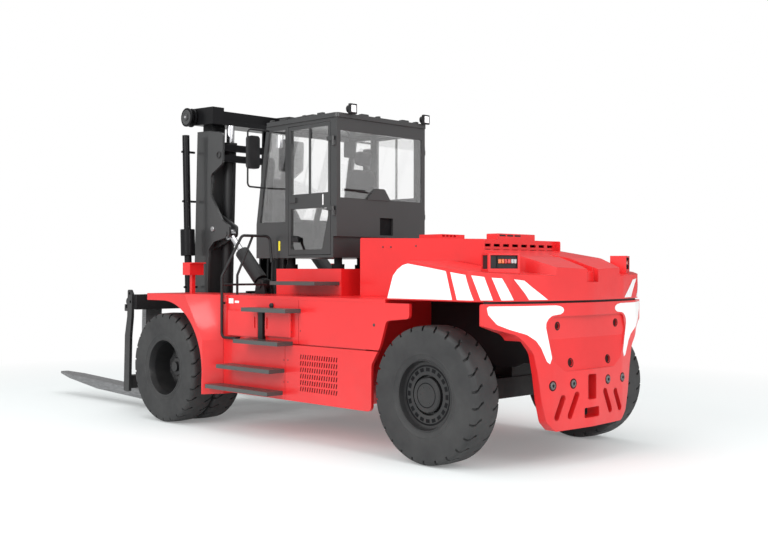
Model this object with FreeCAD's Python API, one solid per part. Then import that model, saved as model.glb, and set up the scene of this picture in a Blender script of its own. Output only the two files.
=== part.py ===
import FreeCAD, Part
import math
import os
from FreeCAD import Vector as V

# ---------------------------------------------------------------------------
# Heavy counterbalanced forklift truck, 25 t class.  Millimetres.
# Lengths along the truck are measured from the steer axle, forwards positive;
# +Y is the driver's left and Z = 0 is the ground under the tyres.  The whole
# truck is moved at the end so that its origin is under the middle of its box.
# ---------------------------------------------------------------------------

# Wheels
WHEELBASE = 4245.0
TYRE_RADIUS = 680.0
TYRE_WIDTH = 352.0
TYRE_SHOULDER = 34.0
BEAD_RADIUS = 353.0
BEAD_CLEARANCE = 0.3
RIM_WALL = 14.0
RIM_FLANGE = 16.0
STEER_WHEEL_Y = 1240.0
DRIVE_WHEEL_Y = 1446.5
DUAL_GAP = 33.5
KINGPIN_Y = 950.0
KINGPIN_RADIUS = 42.0
EAR_RADIUS = 78.0
STEER_DISC_HOLES = 20
STEER_DISC_HOLE_PITCH_RADIUS = 250.0
HUB_RADIUS = 175.0
FLANGE_RADIUS = 196.0
AXLE_END = 866.0

# Body
DECK_TOP = 1600.0
DECK_PLATE = 36.0
BODY_HALF_WIDTH = 1400.0
SKIN = 36.0
BODY_BOTTOM = 450.0
PANEL_GAP = 6.0
FENDER_HALF_WIDTH = 1620.0
FENDER_INNER_Y = 830.0
FENDER_FRONT = WHEELBASE + 365.0
FENDER_BACK = WHEELBASE - 965.0
FENDER_TOP_CORNER = WHEELBASE - 475.0
FENDER_SIDE_CORNER = WHEELBASE - 845.0
FENDER_KNEE = 1060.0
FENDER_SKIRT = 420.0
ARCH_RADIUS = 835.0
ARCH_REACH = 900.0
RAIL_OUTER_Y = 370.0
RAIL_WALL = 60.0
FRAME_OVER_AXLE = 912.0
TANK_BACK = 860.0
SEAM_X = 1885.0
LOUVRE_DOOR_FRONT = 2120.0
SEAM_Z = 1075.0
SEAM_GROOVE = 14.0
LOUVRE_ROWS = 6
LOUVRES_PER_ROW = 16
LOUVRE_PITCH = 39.0
LOUVRE_ROW_PITCH = 70.0
LOUVRE_WIDTH = 17.0
LOUVRE_HEIGHT = 50.0
LOUVRE_SLANT = 12.0
LOUVRE_DEPTH = 22.0
LID_PROUD = 40.0
LID_FRONT = (2570.0, 3150.0, 1128.0, 1420.0)
LID_REAR = (1985.0, 2440.0, 1150.0, 1420.0)

# Bonnet and counterweight
HOOD_HALF_WIDTH = 650.0
HOOD_FRONT = 1700.0
HOOD_BACK = -125.0
HOOD_TOP_FRONT = 2260.0
HOOD_TOP_BACK = 2212.0
HOOD_WALL = 14.0
HOOD_SLOTS = 8
CW_REAR = -992.0
CW_BOW = 60.0
CW_HALF_WIDTH = BODY_HALF_WIDTH - 15.0
CW_FRONT = 530.0
CW_SHOULDER_TOP = 1990.0
CW_BREAK_X = -307.0
CW_BREAK_TOP = 1909.0
CW_REAR_TOP = 1838.0
CROWN_HALF_WIDTH = HOOD_HALF_WIDTH + 5.0
CROWN_TAIL_HALF_WIDTH = 545.0
CROWN_TOP_FRONT = 2104.0
CROWN_TOP_MID = 2024.0
CROWN_TOP_REAR = 1922.0
NOTCH_HALF_WIDTH = 98.0
NOTCH_BOTTOM = 1780.0
CREASE_HALF_WIDTH = 66.0
LOWER_TOP = 1578.0
LOWER_BOTTOM = 345.0
LOWER_BACK = -985.0
LOWER_FRONT = -835.0
RECESS_DEPTH = 55.0
SOCKET_DEPTH = 40.0
TOW_SOCKET_Y = 322.0
TOW_SOCKET_Z = 995.0
TOW_SOCKET_RADIUS = 34.0
WING_HALF_WIDTH = 1342.0
WING_FRONT = -648.0
WING_BOTTOM = 1372.0
LAMP_TURN = 26.0
LAMP_WIDTH = 326.0
LAMP_DEPTH = 170.0
LAMP_TOP = 2052.0
LAMP_CORNER_X = -645.0
LAMP_CORNER_Y = 1209.0

# Cab
CAB_BACK = WHEELBASE - 2245.0
CAB_FRONT = CAB_BACK + 1500.0
CAB_FRONT_TOP = CAB_FRONT - 200.0
CAB_HALF_WIDTH = 740.0
CAB_FLOOR = 2040.0
CAB_SILL = 2460.0
CAB_HEAD = 3660.0
CAB_WALL = 50.0
ROOF_PLATE = 52.0
CAB_TAIL_BOTTOM = 2285.0
CAB_TAIL_DEPTH = 60.0
REAR_WINDOW_HALF = CAB_HALF_WIDTH - 58.0
REAR_WINDOW_BOTTOM = 2735.0
REAR_WINDOW_TOP = 3512.0
DOOR_BACK = CAB_BACK + 108.0
DOOR_FRONT = DOOR_BACK + 760.0
DOOR_BOTTOM = CAB_FLOOR + 37.0
DOOR_TOP = CAB_HEAD - 45.0
DOOR_STILE = 42.0
DOOR_BAR_LOW = 2650.0
DOOR_BAR_HIGH = 2800.0
QUARTER_BACK = DOOR_FRONT + 65.0
DOOR_GAP = 6.0
GLASS = 6.0
HINGE_X = CAB_BACK + 40.0
HINGE_Y = CAB_HALF_WIDTH + 22.0
HINGE_RADIUS = 16.0
HINGE_HEIGHTS = (2526.0, 3332.0)
HINGE_BLOCK = 60.0
HINGE_TALL = 110.0
SCREEN_INSET = 60.0
SCREEN_TOP = 3590.0
PEDESTAL_TOP = 1910.0
PLATE_WALL = 12.0

# Mast (its own upright frame, leaned back about the tilt pin at rest)
MAST_LEAN = 2.0
TILT_PIN_X = WHEELBASE + 375.0
TILT_PIN_Z = 600.0
TILT_PIN_RADIUS = 55.0
UPRIGHT_OUTER_Y = 660.0
UPRIGHT_DEPTH = 320.0
UPRIGHT_WIDTH = 215.0
UPRIGHT_FLANGE = 40.0
UPRIGHT_WEB = 45.0
UPRIGHT_FRONT = TILT_PIN_X + 400.0
MAST_FOOT = 380.0
LOW_TIE = 48.0
TIE_BAR = 90.0
TIE_HEIGHTS = (3330.0, 3470.0)
GUSSET = 34.0
FOOT_INNER_Y = 616.0
MAST_TOP = 3750.0
STAGE_CLEARANCE = 12.0
INNER_FLANGE = 36.0
CARRIAGE_ROLLER_RADIUS = UPRIGHT_DEPTH / 2 - UPRIGHT_FLANGE - STAGE_CLEARANCE - INNER_FLANGE - 0.3
HEAD_TOP = 4055.0
HEAD_BOTTOM = 3830.0
HEAD_HALF_WIDTH = 740.0
LIFT_CYLINDER_Y = 425.0
LIFT_CYLINDER_X = TILT_PIN_X - 30.0
LIFT_CYLINDER_RADIUS = 82.0
LIFT_ROD_RADIUS = 52.0
LIFT_STROKE = 2000.0

# Tilt cylinders, pinned to the frame behind and to the mast's lugs in front
TILT_BASE_X = CAB_FRONT
TILT_BASE_Z = 1705.0
TILT_LUG_X = TILT_PIN_X - 405.0
TILT_LUG_Z = 2365.0
TILT_Y = 620.0
TILT_BARREL_RADIUS = 92.0
TILT_ROD_RADIUS = 38.0
TILT_PIN = 38.0

# Carriage and forks
CARRIAGE_HALF_WIDTH = 1400.0
CARRIAGE_BACK = UPRIGHT_FRONT + 50.0
CARRIAGE_FACE = CARRIAGE_BACK + 470.0
CARRIAGE_BOTTOM = 235.0
CARRIAGE_TOP = 1600.0
CHEEK = 40.0
CHEEK_EYE_LOW_X = CARRIAGE_FACE - 125.0
CHEEK_EYE_LOW_Z = 1440.0
CHEEK_EYE_HIGH_X = CARRIAGE_FACE - 100.0
CHEEK_EYE_HIGH_Z = 1550.0
CHEEK_EYE_RADIUS = 20.0
HANGER_Z = 1440.0
HANGER_X = CARRIAGE_FACE - 48.0
HANGER_RADIUS = 50.0
FORK_Y = 950.0
FORK_WIDTH = 250.0
FORK_THICKNESS = 120.0
FORK_LENGTH = 2440.0
FORK_UNDERSIDE = 85.0
FORK_SHANK = 100.0
RUNNING_GAP = 0.3

OUT = "parts"
os.makedirs(OUT, exist_ok=True)


# ---------------------------------------------------------------------------
# Shape helpers
# ---------------------------------------------------------------------------
def box(x0, x1, y0, y1, z0, z1):
    """Axis-aligned block between two corners, given in any order."""
    low = V(min(x0, x1), min(y0, y1), min(z0, z1))
    return Part.makeBox(abs(x1 - x0), abs(y1 - y0), abs(z1 - z0), low)


def rounded_wire(points, radii):
    """Closed wire through coplanar points, each corner rounded by its radius."""
    count = len(points)
    edges = []
    starts = []
    ends = []
    middles = []
    for i in range(count):
        before = points[i - 1]
        here = points[i]
        after = points[(i + 1) % count]
        radius = radii[i]
        to_before = (before - here).normalize()
        to_after = (after - here).normalize()
        if radius <= 0:
            starts.append(here)
            ends.append(here)
            middles.append(None)
            continue
        angle = to_before.getAngle(to_after)
        reach = radius / math.tan(angle / 2)
        bisector = (to_before + to_after).normalize()
        centre = here + bisector * (radius / math.sin(angle / 2))
        starts.append(here + to_before * reach)
        ends.append(here + to_after * reach)
        middles.append(centre - bisector * radius)
    for i in range(count):
        if middles[i] is not None:
            edges.append(Part.Arc(starts[i], middles[i], ends[i]).toShape())
        following = (i + 1) % count
        if (starts[following] - ends[i]).Length > 1e-6:
            edges.append(Part.LineSegment(ends[i], starts[following]).toShape())
    return Part.Wire(edges)


def side_profile(outline, y0, y1, radii=None):
    """Prism across the truck: outline of (x, z) points between two y values."""
    points = [V(x, y0, z) for x, z in outline]
    radii = radii or [0] * len(points)
    return Part.Face(rounded_wire(points, radii)).extrude(V(0, y1 - y0, 0))


def cross_profile(outline, x0, x1, radii=None):
    """Prism along the truck: outline of (y, z) points between two x values."""
    points = [V(x0, y, z) for y, z in outline]
    radii = radii or [0] * len(points)
    return Part.Face(rounded_wire(points, radii)).extrude(V(x1 - x0, 0, 0))


def plan_profile(outline, z0, z1, radii=None):
    """Upright prism: outline of (x, y) points between two heights."""
    points = [V(x, y, z0) for x, y in outline]
    radii = radii or [0] * len(points)
    return Part.Face(rounded_wire(points, radii)).extrude(V(0, 0, z1 - z0))


def rod(start, end, radius):
    """Round bar between two points."""
    start = V(*start)
    end = V(*end)
    return Part.makeCylinder(radius, (end - start).Length, start, end - start)


def pipe(points, radius, bend):
    """Bent round tube along straight runs joined by bends of one radius."""
    points = [V(*p) for p in points]
    edges = []
    last = points[0]
    for i in range(1, len(points) - 1):
        here = points[i]
        to_before = (points[i - 1] - here).normalize()
        to_after = (points[i + 1] - here).normalize()
        angle = to_before.getAngle(to_after)
        reach = bend / math.tan(angle / 2)
        bisector = (to_before + to_after).normalize()
        centre = here + bisector * (bend / math.sin(angle / 2))
        edges.append(Part.LineSegment(last, here + to_before * reach).toShape())
        arc = Part.Arc(here + to_before * reach, centre - bisector * bend, here + to_after * reach)
        edges.append(arc.toShape())
        last = here + to_after * reach
    edges.append(Part.LineSegment(last, points[-1]).toShape())
    path = Part.Wire(edges)
    section = Part.Wire(Part.makeCircle(radius, points[0], points[1] - points[0]))
    return path.makePipeShell([section], True, True)


def turned(profile, y_sign, x=0.0, z=0.0):
    """Solid of revolution about a wheel axis; profile points are (radius, y)."""
    points = [V(x, y * y_sign, z + r) for r, y in profile]
    face = Part.Face(Part.makePolygon(points + [points[0]]))
    return face.revolve(V(x, 0, z), V(0, 1, 0), 360)


def fuse(shapes):
    """One clean solid (or set of solids) from overlapping shapes."""
    first = shapes[0]
    if len(shapes) > 1:
        first = first.multiFuse(shapes[1:])
    return first.removeSplitter()


def cut(shape, tools):
    """Shape with every tool taken out of it."""
    return shape.cut(Part.makeCompound(tools)).removeSplitter()


def both_sides(shape):
    """The left-hand shape with its mirror image, as two separate solids."""
    return Part.makeCompound([shape, mirrored(shape)])


def mirrored(shape):
    """The right-hand twin of a left-hand shape."""
    return shape.mirror(V(0, 0, 0), V(0, 1, 0))


def lean(shape):
    """Lay a piece of the mast back by the parked lean about the tilt pin."""
    leaned = shape.copy()
    leaned.rotate(V(TILT_PIN_X, 0, TILT_PIN_Z), V(0, 1, 0), -MAST_LEAN)
    return leaned


nodes = {}


# ---------------------------------------------------------------------------
# Wheels
# ---------------------------------------------------------------------------
def tyre(centre_y):
    """One tyre as a ring with rounded shoulders and a slightly crowned tread."""
    half = TYRE_WIDTH / 2
    bead = BEAD_RADIUS + BEAD_CLEARANCE
    profile = [
        (bead, centre_y - half + RIM_FLANGE),
        (bead + 40, centre_y - half),
        (TYRE_RADIUS - TYRE_SHOULDER, centre_y - half),
        (TYRE_RADIUS - 6, centre_y - half + TYRE_SHOULDER),
        (TYRE_RADIUS, centre_y),
        (TYRE_RADIUS - 6, centre_y + half - TYRE_SHOULDER),
        (TYRE_RADIUS - TYRE_SHOULDER, centre_y + half),
        (bead + 40, centre_y + half),
        (bead, centre_y + half - RIM_FLANGE),
    ]
    return profile


def rim_ring(centre_y):
    """Drop-centre rim barrel under one tyre, with its two flanges."""
    half = TYRE_WIDTH / 2 - RIM_FLANGE
    return [
        (BEAD_RADIUS, centre_y - half),
        (BEAD_RADIUS, centre_y + half),
        (BEAD_RADIUS - RIM_WALL, centre_y + half),
        (BEAD_RADIUS - RIM_WALL - 22, centre_y + half * 0.55),
        (BEAD_RADIUS - RIM_WALL - 22, centre_y - half * 0.55),
        (BEAD_RADIUS - RIM_WALL, centre_y - half),
    ]


def ring_of_holes(radius, hole_radius, count, y0, y1, x, z):
    """Cutters for evenly spaced round holes about a wheel axis."""
    holes = []
    for i in range(count):
        angle = 2 * math.pi * i / count
        cx = x + radius * math.cos(angle)
        cz = z + radius * math.sin(angle)
        holes.append(rod((cx, y0, cz), (cx, y1, cz), hole_radius))
    return holes


def steer_wheel():
    """Left steer wheel: tyre, and rim with its pierced disc and capped hub."""
    z = TYRE_RADIUS
    ring = turned(tyre(STEER_WHEEL_Y), 1, 0, z)
    outer = STEER_WHEEL_Y + TYRE_WIDTH / 2 - RIM_FLANGE
    disc_y = outer - 55
    barrel = turned(rim_ring(STEER_WHEEL_Y), 1, 0, z)
    disc_edge = BEAD_RADIUS - 20
    disc = turned([(60, disc_y - 22), (disc_edge, disc_y - 22), (disc_edge, disc_y), (60, disc_y)], 1, 0, z)
    disc = cut(disc, ring_of_holes(STEER_DISC_HOLE_PITCH_RADIUS, 17, STEER_DISC_HOLES, disc_y - 40,
                                   disc_y + 20, 0, z))
    hub_back = KINGPIN_Y + 95
    hub = turned([(48, hub_back), (150, hub_back), (150, disc_y - 100), (HUB_RADIUS + 50, disc_y - 70),
                  (HUB_RADIUS + 50, disc_y - 10), (HUB_RADIUS, disc_y - 10), (HUB_RADIUS, disc_y + 12),
                  (HUB_RADIUS - 12, disc_y + 24), (0, disc_y + 24), (0, outer - 190), (48, outer - 190)], 1, 0, z)
    groove = turned([(HUB_RADIUS, disc_y - 50), (HUB_RADIUS + 22, disc_y - 50), (HUB_RADIUS + 22, disc_y + 30),
                     (HUB_RADIUS, disc_y + 30)], 1, 0, z)
    wheel = fuse([barrel, disc, hub])
    return ring, cut(wheel, [groove])


def drive_wheels():
    """Left dual drive wheels: two tyres, two rims, one deep disc and hub."""
    z = TYRE_RADIUS
    inner_y = DRIVE_WHEEL_Y - TYRE_WIDTH - DUAL_GAP
    tyres = [turned(tyre(y), 1, WHEELBASE, z) for y in (DRIVE_WHEEL_Y, inner_y)]
    barrels = [turned(rim_ring(y), 1, WHEELBASE, z) for y in (DRIVE_WHEEL_Y, inner_y)]
    disc_y = DRIVE_WHEEL_Y - TYRE_WIDTH / 2 + 20
    spacer = turned([(BEAD_RADIUS - RIM_WALL - 22, inner_y), (BEAD_RADIUS - 4, inner_y),
                     (BEAD_RADIUS - 4, DRIVE_WHEEL_Y), (BEAD_RADIUS - RIM_WALL - 22, DRIVE_WHEEL_Y)],
                    1, WHEELBASE, z)
    disc = turned([(150, disc_y - 30), (BEAD_RADIUS - 20, disc_y - 30), (BEAD_RADIUS - 20, disc_y),
                   (150, disc_y)], 1, WHEELBASE, z)
    hub_face = DRIVE_WHEEL_Y + TYRE_WIDTH / 2 - 200
    hub = turned([(0, hub_face), (105, hub_face), (120, hub_face - 18), (HUB_RADIUS, hub_face - 18),
                  (HUB_RADIUS + 8, hub_face - 40), (HUB_RADIUS + 8, disc_y - 10), (240, disc_y - 10),
                  (240, disc_y - 60), (HUB_RADIUS, disc_y - 60), (HUB_RADIUS - 10, AXLE_END + RUNNING_GAP),
                  (0, AXLE_END + RUNNING_GAP)], 1, WHEELBASE, z)
    studs = ring_of_holes(215, 14, 20, disc_y - 20, disc_y + 22, WHEELBASE, z)
    flange_face = hub_face - 22
    corners = []
    for i in range(8):
        angle = math.radians(22.5 + 45 * i)
        corners.append((WHEELBASE + FLANGE_RADIUS * math.cos(angle), z + FLANGE_RADIUS * math.sin(angle)))
    flange = side_profile(corners, flange_face - 26, flange_face)
    cap = rod((WHEELBASE, hub_face - 5, z), (WHEELBASE, hub_face + 34, z), 62)
    rim = fuse(barrels + [spacer, disc, hub, flange, cap] + studs)
    return Part.makeCompound(tyres), rim


steer_tyre, steer_rim = steer_wheel()
drive_tyres, drive_rims = drive_wheels()
nodes["tyre_rear_left"] = steer_tyre
nodes["tyre_rear_right"] = mirrored(steer_tyre)
nodes["rim_rear_left"] = steer_rim
nodes["rim_rear_right"] = mirrored(steer_rim)
nodes["tyres_front_left"] = drive_tyres
nodes["tyres_front_right"] = mirrored(drive_tyres)
nodes["rims_front_left"] = drive_rims
nodes["rims_front_right"] = mirrored(drive_rims)


# ---------------------------------------------------------------------------
# Axles and knuckles
# ---------------------------------------------------------------------------
def drive_axle():
    """Drive axle: round casing tubes, tapered arms and a centre housing."""
    z = TYRE_RADIUS
    half = AXLE_END
    tube_part = rod((WHEELBASE, -half, z), (WHEELBASE, half, z), 130)
    centre = rod((WHEELBASE, -190, z), (WHEELBASE, 190, z), 250)
    cones = []
    for side in (-1, 1):
        cones.append(Part.makeCone(250, 150, 190, V(WHEELBASE, 190 * side, z), V(0, side, 0)))
        cones.append(rod((WHEELBASE, (half - 90) * side, z), (WHEELBASE, half * side, z), 165))
    nose = Part.makeCone(170, 110, 330, V(WHEELBASE, 0, z), V(-1, 0, 0))
    pads = [box(WHEELBASE - 150, WHEELBASE + 150, 420 * s, 600 * s, z, z + 190) for s in (-1, 1)]
    return fuse([tube_part, centre, nose] + cones + pads)


def steer_axle():
    """Steer axle: welded beam with kingpin ears and its cross cylinder."""
    z = TYRE_RADIUS
    end = KINGPIN_Y
    beam = plan_profile([(-130, -620), (130, -620), (130, 620), (-130, 620)], z - 105, z + 105)
    ears = []
    for side in (-1, 1):
        for z0 in (z - 150, z + 105):
            ears.append(plan_profile([(-130, 560 * side), (130, 560 * side), (70, end * side), (-70, end * side)],
                                     z0, z0 + 45))
            ears.append(rod((0, KINGPIN_Y * side, z0), (0, KINGPIN_Y * side, z0 + 45), EAR_RADIUS))
        ears.append(box(-130, 130, 540 * side, 620 * side, z - 150, z + 150))
    cylinder = rod((190, -300, z), (190, 300, z), 70)
    carriers = [box(120, 200, 220 * s, 280 * s, z - 85, z + 85) for s in (-1, 1)]
    seat = box(-110, 110, -180, 180, z + 105, FRAME_OVER_AXLE - RUNNING_GAP)
    pins = [rod((0, KINGPIN_Y * s, z - 175), (0, KINGPIN_Y * s, z + 175), KINGPIN_RADIUS) for s in (-1, 1)]
    return fuse([beam, cylinder, seat] + ears + carriers + pins)


def knuckle():
    """Left steering knuckle: bored block on the kingpin with its stub axle."""
    z = TYRE_RADIUS
    block = rod((0, KINGPIN_Y, z - 99), (0, KINGPIN_Y, z + 99), 88)
    stub = rod((0, KINGPIN_Y + 60, z), (0, KINGPIN_Y + 250, z), 47.7)
    boss = rod((0, KINGPIN_Y + 50, z), (0, KINGPIN_Y + 94, z), 96)
    arm = plan_profile([(0, KINGPIN_Y - 60), (225, KINGPIN_Y - 130), (235, KINGPIN_Y - 70), (40, KINGPIN_Y + 60)],
                       z - 30, z + 30)
    body = fuse([block, stub, boss, arm])
    return cut(body, [rod((0, KINGPIN_Y, z - 200), (0, KINGPIN_Y, z + 200), KINGPIN_RADIUS + RUNNING_GAP)])


nodes["drive_axle"] = drive_axle()
nodes["steer_axle"] = steer_axle()
nodes["knuckle_left"] = knuckle()
nodes["knuckle_right"] = mirrored(knuckle())


# ---------------------------------------------------------------------------
# Chassis
# ---------------------------------------------------------------------------
def main_frame():
    """Two deep rails joined by cross walls, with mast feet in front."""
    saddle_x = WHEELBASE - 225
    rail_outline = [
        (LOWER_FRONT + RUNNING_GAP, 960), (-420, 960), (-300, FRAME_OVER_AXLE), (300, FRAME_OVER_AXLE),
        (620, 560),
        (FENDER_BACK + 20, 500), (saddle_x - 370, 870), (saddle_x + 380, 870),
        (saddle_x + 270, DECK_TOP - DECK_PLATE - 60), (saddle_x - 370, DECK_TOP - DECK_PLATE),
        (-200, DECK_TOP - DECK_PLATE), (LOWER_FRONT + RUNNING_GAP, 1500),
    ]
    rails = []
    for side in (-1, 1):
        y0 = side * RAIL_OUTER_Y
        y1 = side * (RAIL_OUTER_Y - RAIL_WALL)
        rails.append(side_profile(rail_outline, y0, y1))
    inner = RAIL_OUTER_Y - RAIL_WALL
    walls = [
        box(-520, -460, -inner, inner, 960, 1500),
        box(-110, 110, -inner, inner, FRAME_OVER_AXLE, 972),
        box(640, 700, -inner, inner, 600, DECK_TOP - DECK_PLATE),
        box(FENDER_BACK - 40, FENDER_BACK + 20, -inner, inner, 520, DECK_TOP - DECK_PLATE),
        box(WHEELBASE - 25, WHEELBASE + 35, -inner, inner, 930, 1400),
    ]
    saddles = []
    feet = []
    for side in (-1, 1):
        saddles.append(box(saddle_x, saddle_x + 380, 360 * side, 590 * side, 870, 960))
        base = side * TILT_Y
        x = TILT_BASE_X
        lug = side_profile([(x - 140, 1480), (x + 120, 1480), (x + 75, 1745), (x, 1790), (x - 75, 1745)],
                           base - 36 - 34, base - 36, [0, 0, 40, 60, 40])
        twin = lug.copy()
        twin.translate(V(0, 106, 0))
        floor = box(x - 160, x + 140, side * 330, side * 740, 1450, 1480)
        pin = rod((TILT_BASE_X, base - 85, TILT_BASE_Z), (TILT_BASE_X, base + 85, TILT_BASE_Z), TILT_PIN)
        feet += [lug, twin, floor, pin]
    return fuse(rails + walls + saddles + feet)


def mast_hinges():
    """Bearing blocks on the frame that carry the mast's tilt pins."""
    x = TILT_PIN_X
    parts = []
    for side in (-1, 1):
        ear_shape = side_profile([(x - 222, 560), (x - 20, 490), (x + 72, 600), (x + 20, 700), (x - 120, 900),
                                  (x - 240, 960), (x - 420, 960), (x - 420, 871), (x - 222, 871)],
                                 520 * side, 590 * side, [0, 60, 60, 60, 0, 0, 0, 0, 0])
        pin = rod((TILT_PIN_X, 515 * side, TILT_PIN_Z), (TILT_PIN_X, 690 * side, TILT_PIN_Z), TILT_PIN_RADIUS)
        parts += [ear_shape, pin]
    return parts


frame_body = main_frame()
frame_body = fuse([frame_body] + mast_hinges())
nodes["chassis_frame"] = frame_body


def side_tanks():
    """Closed side boxes between the axles, behind the outer skins."""
    roof = DECK_TOP - DECK_PLATE - RUNNING_GAP
    front = FENDER_BACK - RUNNING_GAP
    outline = [(TANK_BACK, 620), (TANK_BACK, roof), (front, roof), (front, BODY_BOTTOM + 30),
               (TANK_BACK + 120, BODY_BOTTOM + 30)]
    y0 = RAIL_OUTER_Y + RUNNING_GAP
    y1 = BODY_HALF_WIDTH - SKIN - RUNNING_GAP
    left = side_profile(outline, y0, y1, [30, 20, 20, 30, 60])
    wall = PLATE_WALL
    hollow = box(TANK_BACK + 130, front - wall, y0 + wall, y1 - wall, BODY_BOTTOM + 30 + wall,
                 DECK_TOP - DECK_PLATE - RUNNING_GAP - wall)
    return both_sides(cut(left, [hollow]))


def fender():
    """Left front mudguard: arched top plate that falls into the side box."""
    back = [(FENDER_BACK, FENDER_INNER_Y), (FENDER_BACK, BODY_HALF_WIDTH)]
    front = [(FENDER_FRONT, FENDER_HALF_WIDTH), (FENDER_FRONT, FENDER_INNER_Y)]
    low = back + [(FENDER_SIDE_CORNER, FENDER_HALF_WIDTH)] + front
    top = back + [(FENDER_TOP_CORNER, FENDER_HALF_WIDTH)] + front
    skirt = plan_profile(low, FENDER_SKIRT, FENDER_KNEE)
    lower_wire = Part.makePolygon([V(x, y, FENDER_KNEE) for x, y in low + low[:1]])
    upper_wire = Part.makePolygon([V(x, y, DECK_TOP) for x, y in top + top[:1]])
    shoulder = Part.makeLoft([lower_wire, upper_wire], True, True)
    body = fuse([skirt, shoulder])
    arch = rod((WHEELBASE, 700, TYRE_RADIUS), (WHEELBASE, 1700, TYRE_RADIUS), ARCH_RADIUS)
    arch_foot = box(WHEELBASE - ARCH_RADIUS + 6, WHEELBASE + ARCH_REACH, 700, 1700, 300, TYRE_RADIUS)
    arch_nose = box(WHEELBASE, WHEELBASE + ARCH_REACH, 700, 1700, 300, TYRE_RADIUS + ARCH_RADIUS)
    return cut(body, [arch, arch_foot, arch_nose])


def side_panel_outline():
    """Outline of the whole side skin behind the fender, as (x, z) points."""
    front = FENDER_BACK - PANEL_GAP
    top = DECK_TOP - DECK_PLATE
    points = [(735, BODY_BOTTOM), (735, 930), (610, 1120), (520, 1385), (200, 1415), (200, top), (front, top),
              (front, BODY_BOTTOM)]
    radii = [60, 90, 200, 50, 40, 0, 0, 30]
    return points, radii


def service_lid(extent, slot_x):
    """Proud storage lid on the step wall, its outer edges rounded, with a pull slot."""
    x0, x1, z0, z1 = extent
    y0 = BODY_HALF_WIDTH - SKIN / 2
    y1 = BODY_HALF_WIDTH + LID_PROUD
    rim = plan_profile([(x0, y0), (x1, y0), (x1, y1), (x0, y1)], z0, z1, [0, 0, 14, 14])
    slot = box(slot_x - 13, slot_x + 13, y1 - 12, y1 + 5, z1 - 190, z1 - 60)
    return cut(rim, [slot])


def side_skins():
    """Left side skins: step wall with its lids, upper rear panel and louvred door."""
    points, radii = side_panel_outline()
    y0 = BODY_HALF_WIDTH - SKIN
    y1 = BODY_HALF_WIDTH
    whole = side_profile(points, y0, y1, radii)
    far = FENDER_BACK + 1000
    above = DECK_TOP + 400
    half = PANEL_GAP / 2
    groove_top = SEAM_Z + SEAM_GROOVE / 2
    step_wall = whole.common(box(SEAM_X + half, far, y0 - 10, y1 + 10, groove_top, above))
    front_wall = whole.common(box(LOUVRE_DOOR_FRONT + half, far, y0 - 10, y1 + 10, 0, groove_top + 1))
    upper = whole.common(box(0, SEAM_X - half, y0 - 10, y1 + 10, groove_top, above))
    lower = whole.common(box(0, LOUVRE_DOOR_FRONT - half, y0 - 10, y1 + 10, 0, SEAM_Z - SEAM_GROOVE / 2))
    slots = []
    first_x = SEAM_X - LOUVRE_PITCH * LOUVRES_PER_ROW - 12
    for row in range(LOUVRE_ROWS):
        z = SEAM_Z - 105 - LOUVRE_HEIGHT - row * LOUVRE_ROW_PITCH
        for i in range(LOUVRES_PER_ROW):
            x = first_x + i * LOUVRE_PITCH
            slots.append(side_profile([(x + LOUVRE_SLANT, z), (x + LOUVRE_SLANT + LOUVRE_WIDTH, z),
                                       (x + LOUVRE_WIDTH, z + LOUVRE_HEIGHT), (x, z + LOUVRE_HEIGHT)],
                                      y1 - LOUVRE_DEPTH, y1 + 5))
    lower = cut(lower, slots)
    lids = [service_lid(LID_FRONT, LID_FRONT[0] + 47), service_lid(LID_REAR, LID_REAR[1] - 47)]
    front = fuse([step_wall, front_wall] + lids)
    return front, upper, lower


step_wall, upper_panel, louvre_door = side_skins()
nodes["side_tanks"] = side_tanks()
nodes["fenders"] = both_sides(fender())
nodes["side_panels"] = Part.makeCompound([step_wall, upper_panel, mirrored(step_wall), mirrored(upper_panel)])
nodes["louvre_doors"] = both_sides(louvre_door)


def deck():
    """Flat deck plate over the frame, notched for the mast well."""
    front = FENDER_BACK - PANEL_GAP
    outline = [(CW_FRONT + 6, -BODY_HALF_WIDTH), (front, -BODY_HALF_WIDTH), (front, BODY_HALF_WIDTH),
               (CW_FRONT + 6, BODY_HALF_WIDTH)]
    plate = plan_profile(outline, DECK_TOP - DECK_PLATE + 0.3, DECK_TOP)
    rear = box(-300, CW_FRONT + 6, -HOOD_HALF_WIDTH - 20, HOOD_HALF_WIDTH + 20, DECK_TOP - DECK_PLATE + 0.3, DECK_TOP)
    return fuse([plate, rear])


nodes["deck"] = deck()


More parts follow.
